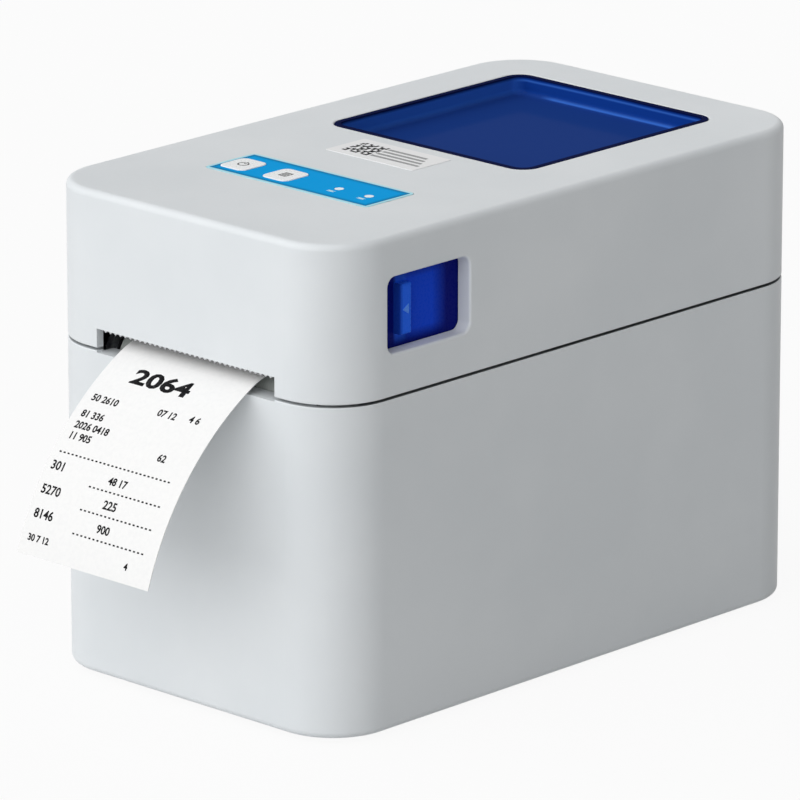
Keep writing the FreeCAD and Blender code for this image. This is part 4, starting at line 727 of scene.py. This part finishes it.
# Roll of labels: paper wound on a grey-brown card core, so the ends show the layers as fine rings.
# The core is spiral-wound card with a rough cut end.
def ring_radius(finish, axis_y, axis_z):
    place = object_place(finish)
    off_y = sum_of(finish, "SUBTRACT", axis_part(finish, place, "Y"), axis_y)
    off_z = sum_of(finish, "SUBTRACT", axis_part(finish, place, "Z"), axis_z)
    square_y = sum_of(finish, "MULTIPLY", off_y, off_y)
    square_z = sum_of(finish, "MULTIPLY", off_z, off_z)
    return sum_of(finish, "SQRT", sum_of(finish, "ADD", square_y, square_z), 0.0)


def wound_layers(name, pale, shade, layer):
    finish = new_finish(name, 0.65)
    low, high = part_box("label_roll")
    radius = ring_radius(finish, (low.y + high.y) / 2, (low.z + high.z) / 2)
    rings = finish.node_tree.nodes.new("ShaderNodeTexNoise")
    rings.noise_dimensions = "1D"
    rings.inputs["Scale"].default_value = 1.0 / layer
    rings.inputs["Detail"].default_value = 3.0
    wire(finish, radius, rings.inputs["W"])
    factor = rings.outputs["Fac"]
    wire(finish, ramp(finish, factor, [(0.3, shade), (0.65, pale)]), shader_input(finish, "Base Color"))
    relief(finish, factor, 0.02 * MM)
    return finish


dress(wound_layers("wound_paper", (0.88, 0.88, 0.875, 1.0), (0.70, 0.70, 0.69, 1.0), 0.6 * MM), "label_roll")
dress(wound_layers("card_core", (0.42, 0.31, 0.20, 1.0), (0.28, 0.20, 0.125, 1.0), 0.4 * MM), "roll_core")


# Inner mouldings: dark grey plastic roll bin, guides and paper guide, all screwed into the lower shell.
# The gears, the guide pinion and the platen's bushes are black acetal, a little waxy.
dark_inner = moulded("inner_plastic", (0.085, 0.09, 0.096, 1.0), (0.062, 0.066, 0.071, 1.0), 0.48)
dress(dark_inner, "roll_bin", "right_roll_guide", "left_roll_guide", "paper_guide", "base_posts")
acetal = moulded("acetal", (0.030, 0.030, 0.033, 1.0), (0.022, 0.022, 0.024, 1.0), 0.36)
dress(acetal, "platen_gear", "idler_gear", "guide_pinion", "platen_bushes")
black_mould = moulded("black_plastic", (0.022, 0.022, 0.024, 1.0), (0.014, 0.014, 0.016, 1.0), 0.4)
dress(black_mould, "gap_sensor", "power_jack", "rocker_housing", "power_rocker")


# Platen: a pale grey ground silicone rubber sleeve on a steel shaft that turns in plastic bushes.
# Grinding leaves fine rings round the sleeve.
def ground_rubber(name, pale, shade, stretch):
    finish = new_finish(name, 0.7)
    rings = noise(finish, 0.4 * MM, 4.0, stretch)
    wire(finish, ramp(finish, rings, [(0.3, shade), (0.7, pale)]), shader_input(finish, "Base Color"))
    wire(finish, spread_of(finish, rings, 0.6, 0.8), shader_input(finish, "Roughness"))
    relief(finish, rings, 0.01 * MM)
    return finish


dress(ground_rubber("platen_rubber", (0.47, 0.50, 0.48, 1.0), (0.38, 0.41, 0.39, 1.0), (1, 0.08, 0.08)),
      "platen_roller")


# Metal pieces: zinc-plated frame and carrier, bright shafts, pins and screws, and the plated motor can.
# The motor's pinion is brass, the head bracket is extruded aluminium, and the head on it is a glazed
# ceramic plate.
zinc = rolled_metal("zinc_plate", (0.58, 0.60, 0.61, 1.0), (0.42, 0.44, 0.46, 1.0), 0.42, (0.3, 0.3, 0.3))
dress(zinc, "mech_frame", "head_carrier")
dress(bright_steel, "platen_shaft", "idler_pin", "latch_keepers", "hinge_pins", "head_pivot_pin",
      "frame_screws", "bottom_screws", "board_screws", "motor_screws", "panel_screws", "carrier_screws")
dress(rolled_metal("motor_can", (0.48, 0.49, 0.51, 1.0), (0.34, 0.35, 0.37, 1.0), 0.36, (0.05, 1, 1)),
      "stepper_motor")
dress(rolled_metal("turned_brass", (0.66, 0.49, 0.20, 1.0), (0.52, 0.37, 0.14, 1.0), 0.3, (1, 0.1, 0.1)),
      "motor_pinion")
dress(rolled_metal("extruded_aluminium", (0.76, 0.77, 0.79, 1.0), (0.62, 0.63, 0.65, 1.0), 0.34,
                   (0.04, 1, 1)), "head_bracket")


def glazed_ceramic():
    finish = new_finish("glazed_ceramic", 0.14)
    glaze = noise(finish, 4 * MM)
    wire(finish, ramp(finish, glaze, [(0.3, (0.70, 0.68, 0.61, 1.0)), (0.7, (0.79, 0.77, 0.71, 1.0))]),
         shader_input(finish, "Base Color"))
    shader_input(finish, "Coat Weight").default_value = 0.8
    return finish


dress(glazed_ceramic(), "print_head")


# Springs: coils of bright music wire under the head carrier and behind the latches.
# Each stands in for the plain sleeve of the same outer size.
WIRE_R = 0.32 * MM


def coil(name, radius, length, turns):
    """Upright wire helix from the origin, with its section swept round and up."""
    deselect()
    bpy.ops.mesh.primitive_circle_add(vertices=10, radius=WIRE_R, fill_type="NOTHING",
                                      location=(radius - WIRE_R, 0, WIRE_R), rotation=(math.pi / 2, 0, 0))
    spring = bpy.context.object
    spring.name = name
    bpy.ops.object.transform_apply(location=True, rotation=True, scale=True)
    sweep = spring.modifiers.new("turns", "SCREW")
    sweep.axis = "Z"
    sweep.iterations = turns
    sweep.screw_offset = (length - 2 * WIRE_R) / turns
    sweep.steps = 28
    sweep.render_steps = 28
    sweep.use_merge_vertices = False
    bpy.ops.object.modifier_apply(modifier=sweep.name)
    bpy.ops.object.mode_set(mode="EDIT")
    bpy.ops.mesh.select_mode(type="EDGE")
    bpy.ops.mesh.select_all(action="DESELECT")
    bpy.ops.mesh.select_non_manifold()
    bpy.ops.mesh.edge_face_add()
    bpy.ops.mesh.select_all(action="SELECT")
    bpy.ops.mesh.normals_make_consistent(inside=False)
    bpy.ops.object.mode_set(mode="OBJECT")
    bpy.ops.object.shade_smooth_by_angle(angle=math.radians(50))
    return spring


low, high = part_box("head_springs")
radius = (high.y - low.y) / 2
right_coil = coil("head_coils", radius, high.z - low.z, 6)
left_coil = copy_of(right_coil, "left_coil")
right_coil.location = (high.x - radius, (low.y + high.y) / 2, low.z)
left_coil.location = (low.x + radius, (low.y + high.y) / 2, low.z)
head_coils = merge([right_coil, left_coil], "head_coils")
settle(head_coils, bright_steel, "cover")
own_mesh(head_coils)
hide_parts("head_springs")

low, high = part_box("right_latch_spring")
radius = (high.z - low.z) / 2
right_coil = coil("right_latch_coil", radius, high.y - low.y, 9)
right_coil.rotation_euler = (-math.pi / 2, 0, 0)
left_coil = copy_of(right_coil, "left_latch_coil")
for spring, name in ((right_coil, "right_latch"), (left_coil, "left_latch")):
    low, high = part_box(name + "_spring")
    spring.location = ((low.x + high.x) / 2, low.y, (low.z + high.z) / 2)
    settle(spring, bright_steel, "cover")
    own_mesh(spring)
    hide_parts(name + "_spring")


# Boards: green epoxy glass with copper tracks under the lacquer, and black parts soldered on top.
# The main board lies on pillars at the rear, and the panel board hangs under the keys.
BOARD_T = 1.6 * MM


def circuit_board(name, board):
    finish = new_finish(name, 0.35)
    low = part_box(board)[0]
    tracks = add_node(finish, "ShaderNodeTexBrick", Scale=130.0, Mortar_Size=0.06)
    tracks.inputs["Color1"].default_value = (0.010, 0.105, 0.042, 1.0)
    tracks.inputs["Color2"].default_value = (0.008, 0.085, 0.034, 1.0)
    tracks.inputs["Mortar"].default_value = (0.03, 0.19, 0.075, 1.0)
    wire(finish, object_place(finish, (1, 0.6, 1)), tracks.inputs["Vector"])
    height = axis_part(finish, object_place(finish), "Z")
    parts = sum_of(finish, "GREATER_THAN", height, low.z + BOARD_T + 0.05 * MM)
    two_tone(finish, parts, tracks.outputs["Color"], (0.016, 0.016, 0.018, 1.0))
    relief(finish, tracks.outputs["Fac"], 0.02 * MM)
    return finish


dress(circuit_board("main_board_lacquer", "main_board"), "main_board")
dress(circuit_board("panel_board_lacquer", "panel_board"), "panel_board")


# Rear sockets and switch: a data socket in a plated shell, a black power jack and a black rocker.
# The rocker carries the usual bar and ring for on and off, printed in white.
TONGUE_IN = 3.1 * MM


def socket_shell():
    """Plated shell with a black tongue in the middle of its mouth."""
    finish = new_finish("socket_shell", 0.35, 1.0)
    low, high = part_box("usb_socket")
    inner = edge_distance(finish, "XZ", low, high)
    tongue = sum_of(finish, "GREATER_THAN", inner, TONGUE_IN)
    lines = noise(finish, 0.6 * MM, 3.0, (1, 0.1, 1))
    plate = ramp(finish, lines, [(0.3, (0.44, 0.45, 0.47, 1.0)), (0.7, (0.60, 0.61, 0.62, 1.0))])
    two_tone(finish, tongue, plate, (0.02, 0.02, 0.022, 1.0))
    wire(finish, sum_of(finish, "SUBTRACT", 1.0, tongue), shader_input(finish, "Metallic"))
    relief(finish, lines, 0.004 * MM)
    return finish


dress(socket_shell(), "usb_socket")

ROCKER_REST = math.radians(8.0)
ROCKER_MARK_R = 1.5 * MM
white_ink = ink_finish("white_ink", (0.85, 0.85, 0.85, 1.0), (0.7, 0.7, 0.7, 1.0))
pivot = Vector(joint_named("power_rocker_tilt")["pos_m"])
MARK_OUT = 4.4 * MM
DISH_DEEP = 1.5 * MM
DISH_HALF = 7.3 * MM
DISH = math.atan2(DISH_DEEP, DISH_HALF)
FACE_OUT = 2.5 * MM
ON_BAR_WIDE = 0.6 * MM
ON_BAR_TALL = 3.2 * MM
OFF_RING_WIDE = 0.5 * MM
UNBROKEN = -1.0
for name, side in (("on_mark", 1), ("off_mark", -1)):
    if side > 0:
        mark = ink_sheet(name, ON_BAR_WIDE, ON_BAR_TALL, 2, 4)
    else:
        mark = ink_ring(ROCKER_MARK_R, OFF_RING_WIDE, UNBROKEN)
        mark.name = name
    thicken(mark, INK_LIFT)
    mark.rotation_euler = (math.pi / 2, 0, math.pi)
    mark.location = (0, 0, 0)
    deselect()
    mark.select_set(True)
    bpy.context.view_layer.objects.active = mark
    bpy.ops.object.transform_apply(location=True, rotation=True, scale=True)
    mark.location = Vector((side * MARK_OUT, FACE_OUT, 0))
    mark.rotation_euler = (0, 0, side * DISH)
    bpy.ops.object.transform_apply(location=True, rotation=True, scale=True)
    mark.rotation_euler = (0, 0, -ROCKER_REST)
    mark.location = pivot
    settle(mark, white_ink, "rocker")


# Underside: four black rubber feet let into the floor, and four screws that hold the roll bin.
# Each screw head has a cross recess, shown as a thin dark sheet of painted shade.
dress(ground_rubber("foot_rubber", (0.04, 0.04, 0.042, 1.0), (0.024, 0.024, 0.026, 1.0), (1, 1, 1)),
      "rubber_feet")
CROSS_ARM = 1.5 * MM
CROSS_WIDE = 0.55 * MM
# Painted shade: the dark crosses stand in for the shade inside the cross recesses.
cross_shade = ink_finish("cross_shade", (0.02, 0.02, 0.022, 1.0), (0.05, 0.05, 0.055, 1.0))
SCREW_HEAD_R = 2.8 * MM
low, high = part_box("bottom_screws")
cross = ink_sheet("cross", 2 * CROSS_ARM, 2 * CROSS_ARM, 11, 11)
drop_faces(cross, lambda middle: abs(middle.x) > CROSS_WIDE / 2 and abs(middle.y) > CROSS_WIDE / 2)
thicken(cross, INK_LIFT)
crosses = [cross] + [copy_of(cross, "cross") for copy in range(3)]
corners = [(x, y) for x in (low.x + SCREW_HEAD_R, high.x - SCREW_HEAD_R)
           for y in (low.y + SCREW_HEAD_R, high.y - SCREW_HEAD_R)]
for cross, corner in zip(crosses, corners):
    cross.location = (*corner, low.z - INK_LIFT)
screw_crosses = merge(crosses, "screw_crosses")
settle(screw_crosses, cross_shade, "base")


# Studio: a white floor that keeps a soft shadow, one broad lamp from the front left and an even white sky.
# The camera stands where the photograph was taken from, with a long lens.
CAMERA_TURN = math.radians(43.593)
CAMERA_RISE = math.radians(16.695)
CAMERA_FAR = 2.1984
CAMERA_LENS = 355.80
CASE_MIDDLE = Vector((0, 0.017634, 0.0704))
CAMERA_LEFT = 0.008167
CAMERA_DOWN = 0.003530

bpy.context.scene.view_settings.view_transform = "Standard"
right = Vector((math.cos(CAMERA_TURN), math.sin(CAMERA_TURN), 0))
back = Vector((math.sin(CAMERA_TURN) * math.cos(CAMERA_RISE),
               -math.cos(CAMERA_TURN) * math.cos(CAMERA_RISE), math.sin(CAMERA_RISE)))
up = back.cross(right)
bpy.ops.object.camera_add(rotation=(math.pi / 2 - CAMERA_RISE, 0, CAMERA_TURN))
camera = bpy.context.object
camera.location = CASE_MIDDLE + back * CAMERA_FAR - right * CAMERA_LEFT - up * CAMERA_DOWN
camera.data.lens = CAMERA_LENS
camera.data.sensor_width = 36.0
camera.data.clip_end = 50.0
bpy.context.scene.camera = camera


def seen_white(tree):
    """One where a camera, mirror or glass ray looks."""
    path = tree.nodes.new("ShaderNodeLightPath")
    total = path.outputs["Is Camera Ray"]
    for name in ("Is Glossy Ray", "Is Transmission Ray"):
        either = tree.nodes.new("ShaderNodeMath")
        either.operation = "MAXIMUM"
        tree.links.new(total, either.inputs[0])
        tree.links.new(path.outputs[name], either.inputs[1])
        total = either.outputs[0]
    return total


FLOOR_SHADOW = 0.07
FLOOR_SIZE = 8.0
FLOOR_GREY = (0.66, 0.66, 0.66, 1.0)
deselect()
bpy.ops.mesh.primitive_plane_add(size=FLOOR_SIZE)
floor = bpy.context.object
floor.name = "floor"
white_floor = bpy.data.materials.new("white_floor")
white_floor.use_nodes = True
tree = white_floor.node_tree
shader = tree.nodes["Principled BSDF"]
shader.inputs["Base Color"].default_value = FLOOR_GREY
shader.inputs["Roughness"].default_value = 0.9
glow = tree.nodes.new("ShaderNodeEmission")
mix = tree.nodes.new("ShaderNodeMixShader")
share = tree.nodes.new("ShaderNodeMath")
share.operation = "MULTIPLY"
share.inputs[1].default_value = 1.0 - FLOOR_SHADOW
tree.links.new(seen_white(tree), share.inputs[0])
tree.links.new(share.outputs[0], mix.inputs["Fac"])
tree.links.new(shader.outputs["BSDF"], mix.inputs[1])
tree.links.new(glow.outputs["Emission"], mix.inputs[2])
tree.links.new(mix.outputs["Shader"], tree.nodes["Material Output"].inputs["Surface"])
floor.data.materials.append(white_floor)

SKY_LEVEL = 0.185
sky = bpy.data.worlds.new("white_sky")
sky.use_nodes = True
bpy.context.scene.world = sky
tree = sky.node_tree
background = tree.nodes["Background"]
background.inputs["Color"].default_value = (1.0, 1.0, 1.0, 1.0)
level = tree.nodes.new("ShaderNodeMapRange")
level.inputs["To Min"].default_value = SKY_LEVEL
level.inputs["To Max"].default_value = 1.0
tree.links.new(seen_white(tree), level.inputs["Value"])
tree.links.new(level.outputs["Result"], background.inputs["Strength"])

LAMP_LEVEL = 3.04
LAMP_LEAN = math.radians(57)
LAMP_TURN = math.radians(-9)
LAMP_WIDE = math.radians(110)
bpy.ops.object.light_add(type="SUN", rotation=(LAMP_LEAN, 0, LAMP_TURN))
lamp = bpy.context.object
lamp.data.energy = LAMP_LEVEL
lamp.data.angle = LAMP_WIDE
